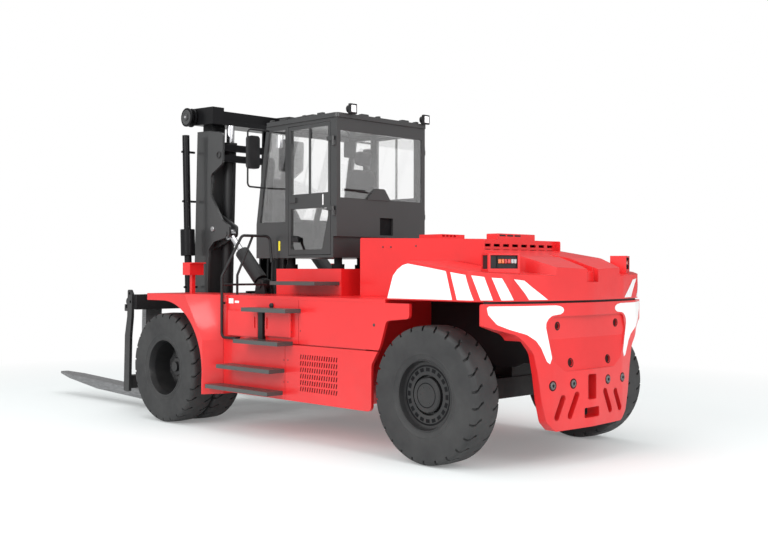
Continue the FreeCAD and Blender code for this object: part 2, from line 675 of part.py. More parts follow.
def hood():
    """Bonnet over the battery: open below, two slotted rows in its rear pocket."""
    outline = [(HOOD_BACK, DECK_TOP + RUNNING_GAP), (HOOD_BACK, HOOD_TOP_BACK), (HOOD_FRONT, HOOD_TOP_FRONT),
               (HOOD_FRONT, DECK_TOP + RUNNING_GAP)]
    outer = side_profile(outline, -HOOD_HALF_WIDTH, HOOD_HALF_WIDTH, [0, 18, 18, 0])
    wall = HOOD_WALL
    pocket_depth = 55
    inside_x = HOOD_BACK + pocket_depth + wall
    inside = side_profile([(inside_x, DECK_TOP - 50), (inside_x, HOOD_TOP_BACK - wall),
                           (HOOD_FRONT - wall, HOOD_TOP_FRONT - wall), (HOOD_FRONT - wall, DECK_TOP - 50)],
                          -HOOD_HALF_WIDTH + wall, HOOD_HALF_WIDTH - wall)
    pocket = box(HOOD_BACK - 5, HOOD_BACK + pocket_depth, -HOOD_HALF_WIDTH + wall, HOOD_HALF_WIDTH - wall,
                 CROWN_TOP_FRONT - 60, HOOD_TOP_FRONT + 50)
    slots = []
    pitch = 2 * (HOOD_HALF_WIDTH - wall - 30) / HOOD_SLOTS
    for i in range(HOOD_SLOTS):
        y = pitch * (i + 0.5 - HOOD_SLOTS / 2)
        for z in (2138, 2082):
            slots.append(box(HOOD_BACK, HOOD_BACK + 100, y - pitch * 0.33, y + pitch * 0.33, z, z + 28))
    shell = cut(outer, [inside, pocket] + slots)
    cap_top = HOOD_TOP_FRONT + 38
    cap = box(900, 1250, -230, 150, HOOD_TOP_FRONT - 30, cap_top)
    cap_slots = []
    for i in range(4):
        y = 125 - i * 62
        cap_slots.append(box(890, 925, y - 22, y + 22, cap_top - 30, cap_top - 10))
    return fuse([shell, cut(cap, cap_slots)])


nodes["hood"] = hood()
nodes["battery_block"] = box(40, HOOD_FRONT - 60, -HOOD_HALF_WIDTH + 60, HOOD_HALF_WIDTH - 60,
                             DECK_TOP + RUNNING_GAP, 2120)


# ---------------------------------------------------------------------------
# Counterweight
# ---------------------------------------------------------------------------
def symmetric_plan(half, radii, z0, z1):
    """Upright prism about the centre line from the left half of its plan."""
    points = half + [(x, -y) for x, y in reversed(half[:-1])]
    return plan_profile(points, z0, z1, radii + list(reversed(radii[:-1])))


def shoulder_height(x):
    """Height of the casting's sloping shoulder behind its arms."""
    share = (CW_BREAK_X - x) / (CW_BREAK_X - CW_REAR)
    return CW_BREAK_TOP + share * (CW_REAR_TOP - CW_BREAK_TOP)


def upper_counterweight():
    """Upper casting: two arms beside the bonnet and a bowed, crowned tail."""
    base = DECK_TOP + RUNNING_GAP
    tail = CW_REAR - 10
    outline = [(CW_FRONT, base), (445, 1840), (245, CW_SHOULDER_TOP), (CW_BREAK_X, CW_BREAK_TOP),
               (tail, shoulder_height(tail)), (tail, base)]
    mass = side_profile(outline, -CW_HALF_WIDTH, CW_HALF_WIDTH, [0, 70, 60, 300, 0, 0])
    crown = side_profile([(HOOD_BACK - PANEL_GAP, base), (HOOD_BACK - PANEL_GAP, CROWN_TOP_FRONT),
                          (-640, CROWN_TOP_MID), (CW_REAR + 44, CROWN_TOP_REAR), (tail, CROWN_TOP_REAR - 24),
                          (tail, base)], -CROWN_HALF_WIDTH, CROWN_HALF_WIDTH, [0, 0, 400, 40, 0, 0])
    crown_half = [(HOOD_BACK, CROWN_HALF_WIDTH), (-640, CROWN_HALF_WIDTH), (CW_REAR + 42, CROWN_TAIL_HALF_WIDTH),
                  (tail - 40, CROWN_TAIL_HALF_WIDTH - 60), (tail - 40, 0)]
    crown = crown.common(symmetric_plan(crown_half, [0, 200, 60, 0, 0], base, CROWN_TOP_FRONT + 50))
    plan = [(CW_FRONT + 70, CW_HALF_WIDTH), (-572, CW_HALF_WIDTH), (CW_REAR + 186, 1122), (CW_REAR + CW_BOW, 640),
            (CW_REAR, 0)]
    body = fuse([mass, crown]).common(symmetric_plan(plan, [0, 110, 200, 300, 800], base - 50, CROWN_TOP_FRONT + 50))
    notch = box(tail - 50, CW_REAR + 62, -NOTCH_HALF_WIDTH, NOTCH_HALF_WIDTH, NOTCH_BOTTOM, CROWN_TOP_FRONT)
    crease = side_profile([(-340, CROWN_TOP_MID + 60), (-640, CROWN_TOP_MID - 46), (CW_REAR + 50, CROWN_TOP_REAR - 52),
                           (CW_REAR + 50, CROWN_TOP_FRONT), (-340, CROWN_TOP_FRONT)],
                          -NOTCH_HALF_WIDTH, NOTCH_HALF_WIDTH)
    crease_half = [(-340, CREASE_HALF_WIDTH - 20), (-640, CREASE_HALF_WIDTH), (CW_REAR + 50, NOTCH_HALF_WIDTH - 20),
                   (CW_REAR + 50, 0)]
    crease = crease.common(symmetric_plan(crease_half, [0, 0, 0, 0], base, CROWN_TOP_FRONT + 50))
    well = box(HOOD_BACK - PANEL_GAP, CW_FRONT + 200, -HOOD_HALF_WIDTH - 12, HOOD_HALF_WIDTH + 12, base - 100,
               CROWN_TOP_FRONT + 200)
    return cut(body, [well, notch, crease])


def slanted_slot(side, low_y, high_y, z0, z1):
    """Round-cornered slot through the lower casting, leaning in at its top."""
    half = 42
    outline = [((low_y + half) * side, z0), ((low_y - half) * side, z0), ((high_y - half) * side, z1),
               ((high_y + half) * side, z1)]
    return cross_profile(outline, LOWER_BACK - 200, LOWER_FRONT + 100, [34, 34, 34, 34])


def lower_counterweight():
    """Lower casting: broad wings that draw in to the recessed rear plate."""
    half = [(0, LOWER_BOTTOM), (570, LOWER_BOTTOM), (684, 440), (746, 640), (792, 900), (850, 1110), (1030, 1285),
            (WING_HALF_WIDTH, WING_BOTTOM), (WING_HALF_WIDTH, LOWER_TOP), (0, LOWER_TOP)]
    radii = [0, 90, 90, 200, 300, 150, 200, 20, 20, 0]
    left = cross_profile(half, LOWER_BACK - 10, LOWER_FRONT, radii)
    wing = cross_profile([(640, 1225), (970, 1225), (1030, 1285), (WING_HALF_WIDTH, WING_BOTTOM),
                          (WING_HALF_WIDTH, LOWER_TOP), (640, LOWER_TOP)], LOWER_FRONT - 5, WING_FRONT,
                         [0, 0, 200, 20, 20, 0])
    body = fuse([left, wing, mirrored(left), mirrored(wing)])
    plan = [(WING_FRONT + 60, WING_HALF_WIDTH), (-690, WING_HALF_WIDTH), (-735, 1240), (-880, 950), (-942, 600),
            (LOWER_BACK, 0)]
    body = body.common(symmetric_plan(plan, [0, 30, 200, 300, 400, 900], LOWER_BOTTOM - 50, LOWER_TOP + 50))
    recess = cross_profile([(-530, 916), (530, 916), (675, 1290), (615, 1450), (-615, 1450), (-675, 1290)],
                           LOWER_BACK - 100, LOWER_BACK + RECESS_DEPTH + 40, [70, 70, 120, 70, 70, 120])
    floor_x = LOWER_BACK + RECESS_DEPTH + 12
    recess = recess.common(side_profile([(LOWER_BACK - 90, 900), (LOWER_BACK + 30, 914), (floor_x, 1230),
                                         (floor_x, 1500), (LOWER_BACK - 90, 1500)], -800, 800))
    holes = []
    bottom_x = LOWER_BACK + RECESS_DEPTH + SOCKET_DEPTH
    for y, z, radius in ((502, 1357, 30), (TOW_SOCKET_Y, TOW_SOCKET_Z, TOW_SOCKET_RADIUS), (603, 788, 37),
                         (300, 790, 37)):
        for side in (-1, 1):
            holes.append(rod((LOWER_BACK - 10, y * side, z), (bottom_x, y * side, z), radius))
    through = (LOWER_BACK - 200, LOWER_FRONT + 100)
    slots = [cross_profile([(-70, 616), (70, 616), (70, 865), (-70, 865)], *through, [18, 18, 18, 18]),
             cross_profile([(-126, 437), (126, 437), (126, 537), (-126, 537)], *through, [18, 18, 18, 18])]
    for side in (-1, 1):
        slots.append(slanted_slot(side, 562, 436, 450, 690))
        slots.append(slanted_slot(side, 366, 227, 448, 708))
    return cut(body, [recess] + holes + slots)


nodes["counterweight_upper"] = upper_counterweight()
nodes["counterweight_lower"] = lower_counterweight()


def lamp_block(along0, along1, depth0, depth1, z0, z1):
    """Block of the tail lamp: along its lens face from the outer edge, and into it."""
    turn = math.radians(LAMP_TURN)
    along = V(-math.sin(turn), -math.cos(turn), 0)
    inward = V(math.cos(turn), -math.sin(turn), 0)
    corner = V(LAMP_CORNER_X, LAMP_CORNER_Y, 0)
    points = []
    for a, d in ((along0, depth0), (along1, depth0), (along1, depth1), (along0, depth1)):
        point = corner + along * a + inward * d
        points.append((point.x, point.y))
    return plan_profile(points, z0, z1)


def tail_lamp():
    """Left tail lamp housing, turned outwards, with its lens and side pockets."""
    housing = lamp_block(0, LAMP_WIDTH, 0, LAMP_DEPTH, CW_REAR_TOP - 60, LAMP_TOP)
    seat_line = [(CW_REAR, CW_REAR_TOP - 100), (CW_REAR, CW_REAR_TOP + RUNNING_GAP),
                 (CW_BREAK_X, CW_BREAK_TOP + RUNNING_GAP), (CW_BREAK_X, CW_REAR_TOP - 100)]
    shoulder = side_profile(seat_line, 0, BODY_HALF_WIDTH)
    lens_low = LAMP_TOP - 142
    lens_pocket = lamp_block(22, LAMP_WIDTH - 22, -10, 24, lens_low, LAMP_TOP - 16)
    side_pocket = lamp_block(-10, 14, 26, LAMP_DEPTH - 26, lens_low - 4, LAMP_TOP - 16)
    return cut(housing, [shoulder, lens_pocket, side_pocket])


nodes["tail_lamps"] = both_sides(tail_lamp())


# ---------------------------------------------------------------------------
# Steps, rails and lamps
# ---------------------------------------------------------------------------
def steps():
    """Open steps on the left side wall, each with a dropped front lip."""
    treads = []
    for x0, x1, z in ((CAB_BACK + 160, FENDER_BACK + 60, 545), (CAB_BACK + 130, FENDER_BACK - 160, 795),
                      (CAB_BACK - 15, FENDER_BACK - 490, 1105), (CAB_BACK - 150, FENDER_BACK - 640, 1470)):
        y0 = BODY_HALF_WIDTH + RUNNING_GAP
        near = min(x1, FENDER_BACK - PANEL_GAP)
        tread = plan_profile([(x0, y0), (near, y0), (x1, 1515), (x1, FENDER_HALF_WIDTH), (x0, FENDER_HALF_WIDTH)],
                             z - 45, z)
        lower = box(x0 + 20, x1 - 20, BODY_HALF_WIDTH - 1, FENDER_HALF_WIDTH - 12, z - 60, z - 14)
        treads.append(cut(tread, [lower]))
    post = box(2470, 2550, BODY_HALF_WIDTH + RUNNING_GAP, BODY_HALF_WIDTH + 46, 1105 + RUNNING_GAP,
               1456 - RUNNING_GAP)
    return treads + [post]


def handrail():
    """Left guard in front of the walkway, bent from round tube."""
    y = BODY_HALF_WIDTH + 45
    x = FENDER_BACK - 30
    outer = pipe([(x - 290, y, 1095), (x, y, 1095), (x, y, 1820), (x - 25, 1170, 2310), (x - 90, 800, 2310),
                  (x - 130, 800, 1990)], 17, 60)
    inner = pipe([(x, 1220, DECK_TOP + RUNNING_GAP), (x, 1220, 1830), (x - 22, 1010, 2300)], 15, 50)
    bar = rod((x, y, 1720), (x - 50, 815, 1720), 13)
    foot = rod((x - 288, BODY_HALF_WIDTH + RUNNING_GAP, 1095), (x - 288, y, 1095), 17)
    clamp = rod((x, BODY_HALF_WIDTH + RUNNING_GAP, 1500), (x, y, 1500), 14)
    return fuse([outer, inner, bar, foot, clamp])


def headlamp():
    """Left headlamp housing on a square post that stands on the mudguard."""
    x = WHEELBASE + 35
    post = box(x, x + 50, 1120, 1170, DECK_TOP + RUNNING_GAP, 1830)
    housing = box(x - 70, x + 90, 1040, 1250, 1830, 1990)
    shade = box(x - 120, x - 65, 1040, 1250, 1975, 1990)
    lens_pocket = box(x + 75, x + 100, 1060, 1230, 1850, 1970)
    return cut(fuse([post, housing, shade]), [lens_pocket])


left_steps = steps()
top_step = box(CAB_BACK - 50, CAB_BACK + 750, CAB_HALF_WIDTH + RUNNING_GAP, 1120, 1720, 1762)
nodes["steps"] = Part.makeCompound(left_steps + [top_step] + [mirrored(s) for s in left_steps + [top_step]])
nodes["handrails"] = both_sides(handrail())
nodes["headlamps"] = both_sides(headlamp())


# ---------------------------------------------------------------------------
# Cab
# ---------------------------------------------------------------------------
def cab_outline(inset, z_low, z_high):
    """Side outline of the cab, drawn in by an inset, as (x, z) points."""
    slope = (CAB_FRONT - CAB_FRONT_TOP) / (CAB_HEAD - CAB_SILL)
    top_x = CAB_FRONT - slope * (z_high - CAB_SILL)
    return [(CAB_BACK + inset, z_low), (CAB_FRONT - inset, z_low), (CAB_FRONT - inset, CAB_SILL),
            (top_x - inset, z_high), (CAB_BACK + inset, z_high)]


def cab_frame():
    """Cab cage: hollow body pierced for doors and windows, drawn in under its tail."""
    outer = side_profile(cab_outline(0, CAB_FLOOR, CAB_HEAD), -CAB_HALF_WIDTH, CAB_HALF_WIDTH)
    floor_top = CAB_FLOOR + 30
    wide = CAB_HALF_WIDTH + 160
    inside = side_profile(cab_outline(CAB_WALL, floor_top, CAB_HEAD + 50), -CAB_HALF_WIDTH + CAB_WALL,
                          CAB_HALF_WIDTH - CAB_WALL)
    tail_wall = box(CAB_BACK + CAB_TAIL_DEPTH, CAB_BACK + CAB_TAIL_DEPTH + 24, -CAB_HALF_WIDTH + CAB_WALL - 5,
                    CAB_HALF_WIDTH - CAB_WALL + 5, CAB_FLOOR, CAB_TAIL_BOTTOM + 24)
    tail_shelf = box(CAB_BACK + CAB_WALL - 5, CAB_BACK + CAB_TAIL_DEPTH + 24, -CAB_HALF_WIDTH + CAB_WALL - 5,
                     CAB_HALF_WIDTH - CAB_WALL + 5, CAB_TAIL_BOTTOM, CAB_TAIL_BOTTOM + 24)
    tail_notch = box(CAB_BACK - 10, CAB_BACK + CAB_TAIL_DEPTH, -wide, wide, CAB_FLOOR - 10, CAB_TAIL_BOTTOM)
    doorway = box(DOOR_BACK - DOOR_GAP, DOOR_FRONT + DOOR_GAP, -wide, wide, DOOR_BOTTOM - DOOR_GAP, DOOR_TOP + DOOR_GAP)
    rear_window = box(CAB_BACK - 50, CAB_BACK + 100, -REAR_WINDOW_HALF, REAR_WINDOW_HALF, REAR_WINDOW_BOTTOM,
                      REAR_WINDOW_TOP)
    rear_grille = box(CAB_BACK - 10, CAB_BACK + CAB_WALL - 14, -178, 43, CAB_TAIL_BOTTOM + 26, 2520)
    slope = (CAB_FRONT - CAB_FRONT_TOP) / (CAB_HEAD - CAB_SILL)
    low = CAB_SILL + 20
    quarter_front = CAB_FRONT - 70
    quarter = side_profile([(QUARTER_BACK, low), (quarter_front, low),
                            (quarter_front - slope * (SCREEN_TOP + 10 - low), SCREEN_TOP + 10),
                            (QUARTER_BACK, SCREEN_TOP + 10)], -wide, wide)
    windscreen = box(CAB_FRONT_TOP - 100, CAB_FRONT + 200, -CAB_HALF_WIDTH + SCREEN_INSET,
                     CAB_HALF_WIDTH - SCREEN_INSET, low, SCREEN_TOP)
    cage = cut(outer, [inside, doorway, rear_window, quarter, windscreen, tail_notch, rear_grille])
    wiper_case = cross_profile([(274, REAR_WINDOW_BOTTOM - 8), (-126, REAR_WINDOW_BOTTOM - 8),
                                (-24, REAR_WINDOW_BOTTOM + 130), (127, REAR_WINDOW_BOTTOM + 130)],
                               CAB_BACK - 14, CAB_BACK + 9.7, [10, 10, 40, 40])
    hinges = []
    for side in (-1, 1):
        for z in HINGE_HEIGHTS:
            hinges.append(box(HINGE_X - 28, HINGE_X, (CAB_HALF_WIDTH - 5) * side, HINGE_Y * side, z, z + HINGE_BLOCK))
            hinges.append(rod((HINGE_X, HINGE_Y * side, z), (HINGE_X, HINGE_Y * side, z + HINGE_BLOCK), HINGE_RADIUS))
    return fuse([cage, tail_wall, tail_shelf, wiper_case] + hinges)


def cab_roof():
    """Roof panel with a lip all round, crowned in a low ridge across its middle."""
    top_x = CAB_FRONT_TOP + 40
    half = CAB_HALF_WIDTH + 15
    plate = plan_profile([(CAB_BACK - 20, -half), (top_x, -half), (top_x, half), (CAB_BACK - 20, half)],
                         CAB_HEAD + RUNNING_GAP, CAB_HEAD + ROOF_PLATE, [40, 90, 90, 40])
    crown = side_profile([(CAB_BACK + 260, CAB_HEAD + 48), (top_x - 60, CAB_HEAD + 48), (top_x - 200, CAB_HEAD + 104),
                          (CAB_BACK + 620, CAB_HEAD + 112)], -CAB_HALF_WIDTH + 170, CAB_HALF_WIDTH - 170,
                         [0, 0, 60, 80])
    grooves = []
    for i in range(4):
        y = (i - 1.5) * 240
        grooves.append(box(CAB_BACK + 240, top_x, y - 28, y + 28, CAB_HEAD + 84, CAB_HEAD + 200))
    return cut(fuse([plate, crown]), grooves)


def cab_glass():
    """Fixed panes: rear, leaning windscreen and the two front quarters."""
    gap = RUNNING_GAP
    half = REAR_WINDOW_HALF - gap
    rear = box(CAB_BACK + 10, CAB_BACK + 10 + GLASS, -half, half, REAR_WINDOW_BOTTOM + gap, REAR_WINDOW_TOP - gap)
    slope = (CAB_FRONT - CAB_FRONT_TOP) / (CAB_HEAD - CAB_SILL)
    low = CAB_SILL + 20 + gap
    high = SCREEN_TOP - gap
    y = CAB_HALF_WIDTH - SCREEN_INSET - gap
    front_x = CAB_FRONT - 20
    pane = side_profile([(front_x - slope * (low - CAB_SILL), low),
                         (front_x + GLASS - slope * (low - CAB_SILL), low),
                         (front_x + GLASS - slope * (high - CAB_SILL), high),
                         (front_x - slope * (high - CAB_SILL), high)], -y, y)
    quarter_front = CAB_FRONT - 70 - 0.4
    quarter_high = SCREEN_TOP + 10 - gap
    quarter = side_profile([(QUARTER_BACK + gap, low), (quarter_front, low),
                            (quarter_front - slope * (quarter_high - low), quarter_high),
                            (QUARTER_BACK + gap, quarter_high)], CAB_HALF_WIDTH - 20, CAB_HALF_WIDTH - 20 + GLASS)
    return Part.makeCompound([rear, pane, quarter, mirrored(quarter)])


def door_light(grow):
    """Outline of the door's lower window, its rear edge slanted away below."""
    x0 = DOOR_BACK + DOOR_STILE - grow
    x1 = DOOR_FRONT - DOOR_STILE + grow
    z0 = DOOR_BOTTOM + 60 - grow
    z1 = DOOR_BAR_LOW - 24 + grow
    return [(x0 + 104, z0), (x1, z0), (x1, z1), (x0, z1), (x0, z1 - 96)]


def door_frame():
    """Left door: frame round two windows, split by bars, with hinges and latch."""
    y0 = CAB_HALF_WIDTH - CAB_WALL
    outer = box(DOOR_BACK, DOOR_FRONT, y0, CAB_HALF_WIDTH, DOOR_BOTTOM, DOOR_TOP)
    upper = box(DOOR_BACK + DOOR_STILE, DOOR_FRONT - DOOR_STILE, y0 - 10, CAB_HALF_WIDTH + 10, DOOR_BAR_HIGH,
                DOOR_TOP - DOOR_STILE)
    lower = side_profile(door_light(0), y0 - 10, CAB_HALF_WIDTH + 10, [20, 20, 20, 20, 20])
    middle = (DOOR_BACK + DOOR_FRONT) / 2
    slider = box(middle - 14, middle + 14, CAB_HALF_WIDTH - 19.7, CAB_HALF_WIDTH - 6, DOOR_BAR_HIGH - 5,
                 DOOR_TOP - DOOR_STILE + 5)
    handle = box(DOOR_FRONT - 150, DOOR_FRONT - 30, CAB_HALF_WIDTH, CAB_HALF_WIDTH + 22, 2700, 2760)
    straps = []
    for z in HINGE_HEIGHTS:
        low = z + HINGE_BLOCK + RUNNING_GAP
        high = z + HINGE_TALL
        straps.append(box(HINGE_X, DOOR_BACK + 42, CAB_HALF_WIDTH + 8, HINGE_Y, low, high))
        straps.append(box(DOOR_BACK + 4, DOOR_BACK + 42, CAB_HALF_WIDTH - 2, CAB_HALF_WIDTH + 10, low, high))
        straps.append(rod((HINGE_X, HINGE_Y, low), (HINGE_X, HINGE_Y, high), HINGE_RADIUS))
    return fuse([cut(outer, [upper, lower]), slider, handle] + straps)


def door_glass():
    """The two panes of the left door."""
    y = CAB_HALF_WIDTH - 26
    gap = RUNNING_GAP
    upper = box(DOOR_BACK + DOOR_STILE + gap, DOOR_FRONT - DOOR_STILE - gap, y, y + GLASS, DOOR_BAR_HIGH + gap,
                DOOR_TOP - DOOR_STILE - gap)
    lower = side_profile(door_light(-gap), y, y + GLASS, [20, 20, 20, 20, 20])
    return Part.makeCompound([upper, lower])


def pedestal():
    """Red plinth under the cab, with four rubber mounts on its top."""
    wall = PLATE_WALL
    back = CAB_BACK - 80
    front = CAB_BACK + 1100
    plinth = box(back, front, -CAB_HALF_WIDTH, CAB_HALF_WIDTH, DECK_TOP + RUNNING_GAP, PEDESTAL_TOP)
    hollow = box(back + wall, front - wall, -CAB_HALF_WIDTH + wall, CAB_HALF_WIDTH - wall, DECK_TOP - 50,
                 PEDESTAL_TOP - wall)
    return cut(plinth, [hollow])


def cab_mounts():
    """Four round rubber mounts between the plinth and the cab floor."""
    mounts = []
    for x in (CAB_BACK + 150, CAB_BACK + 1000):
        for y in (-580, 580):
            lower = rod((x, y, PEDESTAL_TOP + RUNNING_GAP), (x, y, PEDESTAL_TOP + 55), 75)
            upper = rod((x, y, PEDESTAL_TOP + 55), (x, y, CAB_FLOOR - RUNNING_GAP), 48)
            mounts.append(fuse([lower, upper]))
    return Part.makeCompound(mounts)


def seat():
    """Operator's seat: base box, cushion, backrest and headrest."""
    floor = CAB_FLOOR + 30.3
    back_x = CAB_BACK + 290
    base = box(back_x + 130, back_x + 530, -200, 200, floor, floor + 260)
    cushion = side_profile([(back_x + 70, floor + 260), (back_x + 610, floor + 260), (back_x + 620, floor + 380),
                            (back_x + 70, floor + 360)],
                           -250, 250, [30, 50, 50, 30])
    back = side_profile([(back_x + 70, floor + 300), (back_x + 210, floor + 300), (back_x + 110, floor + 960),
                         (back_x, floor + 960)],
                        -240, 240, [20, 20, 50, 50])
    head = side_profile([(back_x, floor + 970), (back_x + 90, floor + 970), (back_x + 75, floor + 1150),
                         (back_x - 5, floor + 1150)], -130, 130, [20, 20, 35, 35])
    neck = box(back_x + 20, back_x + 60, -60, 60, floor + 940, floor + 990)
    return fuse([base, cushion, back, head, neck])


def controls():
    """Dash, steering column and wheel, and the lever console by the seat."""
    floor = CAB_FLOOR + 30.3
    dash_x = CAB_FRONT - 200
    hub_x = CAB_FRONT - 370
    hub_z = floor + 660
    dash = side_profile([(dash_x, floor), (dash_x + 140, floor), (dash_x + 140, floor + 420),
                         (dash_x + 30, floor + 470), (dash_x - 10, floor + 430)], -300, 300)
    column = rod((dash_x + 40, 0, floor + 100), (hub_x, 0, hub_z), 38)
    axis = V(-210, 0, 560).normalize()
    ring = Part.makeTorus(190, 14, V(hub_x, 0, hub_z), axis)
    spokes = [rod((hub_x, 0, hub_z), (hub_x, 190 * side, hub_z), 10) for side in (-1, 1)]
    seat_x = CAB_BACK + 480
    console = side_profile([(seat_x, floor), (seat_x + 280, floor), (seat_x + 500, floor + 560),
                            (seat_x + 460, floor + 620), (seat_x - 40, floor + 560)], -480, -310, [0, 0, 40, 40, 40])
    lever = rod((seat_x + 420, -395, floor + 560), (seat_x + 440, -395, floor + 720), 14)
    return Part.makeCompound([fuse([dash, column, ring] + spokes), fuse([console, lever])])


def mirror_arm():
    """Left mirror on its bent tube bracket at the cab's front corner."""
    x = CAB_FRONT_TOP - 40
    tube = pipe([(x, CAB_HALF_WIDTH + 0.3, 3610), (x, 1060, 3610), (x, 1060, 2910), (x + 60, CAB_HALF_WIDTH + 0.3, 2910)],
                11, 50)
    head = cross_profile([(900, 3130), (1062, 3130), (1062, 3530), (900, 3530)], x - 35, x + 35, [40, 40, 40, 40])
    return fuse([tube, head])


def roof_lamps():
    """Two round work lamps on stems at the rear edge of the roof."""
    lamps = []
    x = CAB_BACK + 6
    lamp_z = CAB_HEAD + 108
    for y in (545, -692):
        stem = rod((x, y, CAB_HEAD + ROOF_PLATE + RUNNING_GAP), (x, y, lamp_z), 11)
        body = rod((x - 76, y, lamp_z), (x + 2, y, lamp_z), 46)
        lamps.append(fuse([stem, body]))
    return Part.makeCompound(lamps)


nodes["cab_pedestal"] = pedestal()
nodes["cab_mounts"] = cab_mounts()
nodes["cab_frame"] = cab_frame()
nodes["cab_roof"] = cab_roof()
nodes["cab_glass"] = cab_glass()
nodes["door_left"] = door_frame()
nodes["door_right"] = mirrored(door_frame())
nodes["door_glass_left"] = door_glass()
nodes["door_glass_right"] = mirrored(door_glass())
nodes["seat"] = seat()
nodes["controls"] = controls()
nodes["mirrors"] = both_sides(mirror_arm())
nodes["work_lamps"] = roof_lamps()


# ---------------------------------------------------------------------------
# Mast
# ---------------------------------------------------------------------------
UPRIGHT_BACK = UPRIGHT_FRONT - UPRIGHT_DEPTH


def channel(outer_y, width, web, flange, x0, x1, z0, z1):
    """Left channel upright, its open side towards the truck's centre."""
    whole = box(x0, x1, outer_y - width, outer_y, z0, z1)
    hollow = box(x0 + flange, x1 - flange, outer_y - width - 5, outer_y - web, z0 - 5, z1 + 5)
    return cut(whole, [hollow])


def mast_upright():
    """Left outer upright: channel, stepped gusset with its tilt lug, hinge foot."""
    upright = channel(UPRIGHT_OUTER_Y, UPRIGHT_WIDTH, UPRIGHT_WEB, UPRIGHT_FLANGE, UPRIGHT_BACK, UPRIGHT_FRONT,
                      MAST_FOOT + LOW_TIE, MAST_TOP)
    x = UPRIGHT_BACK
    lug_x = TILT_LUG_X - 15
    gusset_outline = [
        (x + 20, MAST_FOOT + LOW_TIE), (x - 40, 900), (x - 50, 2170), (x - 160, 2270), (lug_x, 2350),
        (lug_x, 2480), (x - 330, 2560), (x - 60, 2890), (x - 60, 3160), (x - 310, 3300), (x - 310, 3700),
        (x + 20, MAST_TOP - 10),
    ]
    radii = [0, 30, 60, 40, 45, 45, 60, 80, 80, 40, 40, 0]
    gusset = side_profile(gusset_outline, UPRIGHT_OUTER_Y, UPRIGHT_OUTER_Y + GUSSET, radii)
    inner_lug = side_profile([(x + 10, 2160), (lug_x, 2350), (lug_x, 2480), (x + 10, 2700)],
                             TILT_Y - 72, TILT_Y - 40, [0, 45, 45, 0])
    foot = side_profile([(TILT_PIN_X - 110, TILT_PIN_Z - 40), (TILT_PIN_X - 40, TILT_PIN_Z - 120),
                         (UPRIGHT_FRONT, MAST_FOOT), (UPRIGHT_FRONT, 900), (TILT_PIN_X + 60, 900),
                         (TILT_PIN_X - 110, TILT_PIN_Z + 60)], FOOT_INNER_Y, UPRIGHT_OUTER_Y + GUSSET,
                        [50, 50, 0, 0, 0, 50])
    seat_pad = box(LIFT_CYLINDER_X - 90, UPRIGHT_BACK + 20, 350, 512, 520, 570 - RUNNING_GAP)
    pin_bore = rod((TILT_PIN_X, 0, TILT_PIN_Z), (TILT_PIN_X, 900, TILT_PIN_Z), TILT_PIN_RADIUS + RUNNING_GAP)
    return cut(fuse([upright, gusset, inner_lug, foot, seat_pad]), [pin_bore])


def mast_ties():
    """Cross members of the outer mast: sole plate and two bars behind the head."""
    sole_y = FOOT_INNER_Y - RUNNING_GAP
    sole = box(UPRIGHT_BACK, UPRIGHT_FRONT, -sole_y, sole_y, MAST_FOOT, MAST_FOOT + LOW_TIE - RUNNING_GAP)
    bar_y = UPRIGHT_OUTER_Y - RUNNING_GAP
    bars = [box(UPRIGHT_BACK - 300, UPRIGHT_BACK - 230, -bar_y, bar_y, z, z + TIE_BAR) for z in TIE_HEIGHTS]
    return Part.makeCompound([sole] + bars)


def lift_barrels():
    """Lift cylinder barrels standing behind the uprights."""
    barrel = rod((LIFT_CYLINDER_X, LIFT_CYLINDER_Y, 570), (LIFT_CYLINDER_X, LIFT_CYLINDER_Y, 3560), LIFT_CYLINDER_RADIUS)
    collar = rod((LIFT_CYLINDER_X, LIFT_CYLINDER_Y, 3500), (LIFT_CYLINDER_X, LIFT_CYLINDER_Y, 3600),
                 LIFT_CYLINDER_RADIUS + 10)
    bore = rod((LIFT_CYLINDER_X, LIFT_CYLINDER_Y, 620), (LIFT_CYLINDER_X, LIFT_CYLINDER_Y, 3700),
               LIFT_ROD_RADIUS + RUNNING_GAP)
    return both_sides(cut(fuse([barrel, collar]), [bore]))


def inner_mast():
    """Inner stage: channels inside the outer ones under a deep crosshead."""
    outer_y = UPRIGHT_OUTER_Y - UPRIGHT_WEB - STAGE_CLEARANCE
    x0 = UPRIGHT_BACK + UPRIGHT_FLANGE + STAGE_CLEARANCE
    x1 = UPRIGHT_FRONT - UPRIGHT_FLANGE - STAGE_CLEARANCE
    pieces = []
    for side in (1, -1):
        upright = channel(outer_y, 205, 40, INNER_FLANGE, x0, x1, MAST_FOOT + 60, HEAD_BOTTOM + 20)
        pad = STAGE_CLEARANCE - RUNNING_GAP
        for z in (520, 1900):
            upright = upright.fuse([box(x0 - pad, x1 + pad, outer_y - 150, outer_y - 20, z, z + 160),
                                    box(x0 + 60, x1 - 60, outer_y - 2, outer_y + pad, z, z + 160)])
            upright = upright.cut(box(x0 + INNER_FLANGE, x1 - INNER_FLANGE, outer_y - 206, outer_y - 40, z - 5, z + 165))
        pieces.append(upright if side == 1 else mirrored(upright))
    head = box(UPRIGHT_BACK - 140, x1 + 40, -HEAD_HALF_WIDTH, HEAD_HALF_WIDTH, HEAD_BOTTOM, HEAD_TOP)
    relief = box(UPRIGHT_BACK - 200, UPRIGHT_BACK + 160, -HEAD_HALF_WIDTH + 180, HEAD_HALF_WIDTH - 180, HEAD_BOTTOM + 60,
                 HEAD_TOP + 20)
    tie = box(x0, x0 + 36, -outer_y + 205, outer_y - 205, 700, 900)
    return fuse([cut(head, [relief]), tie] + pieces)


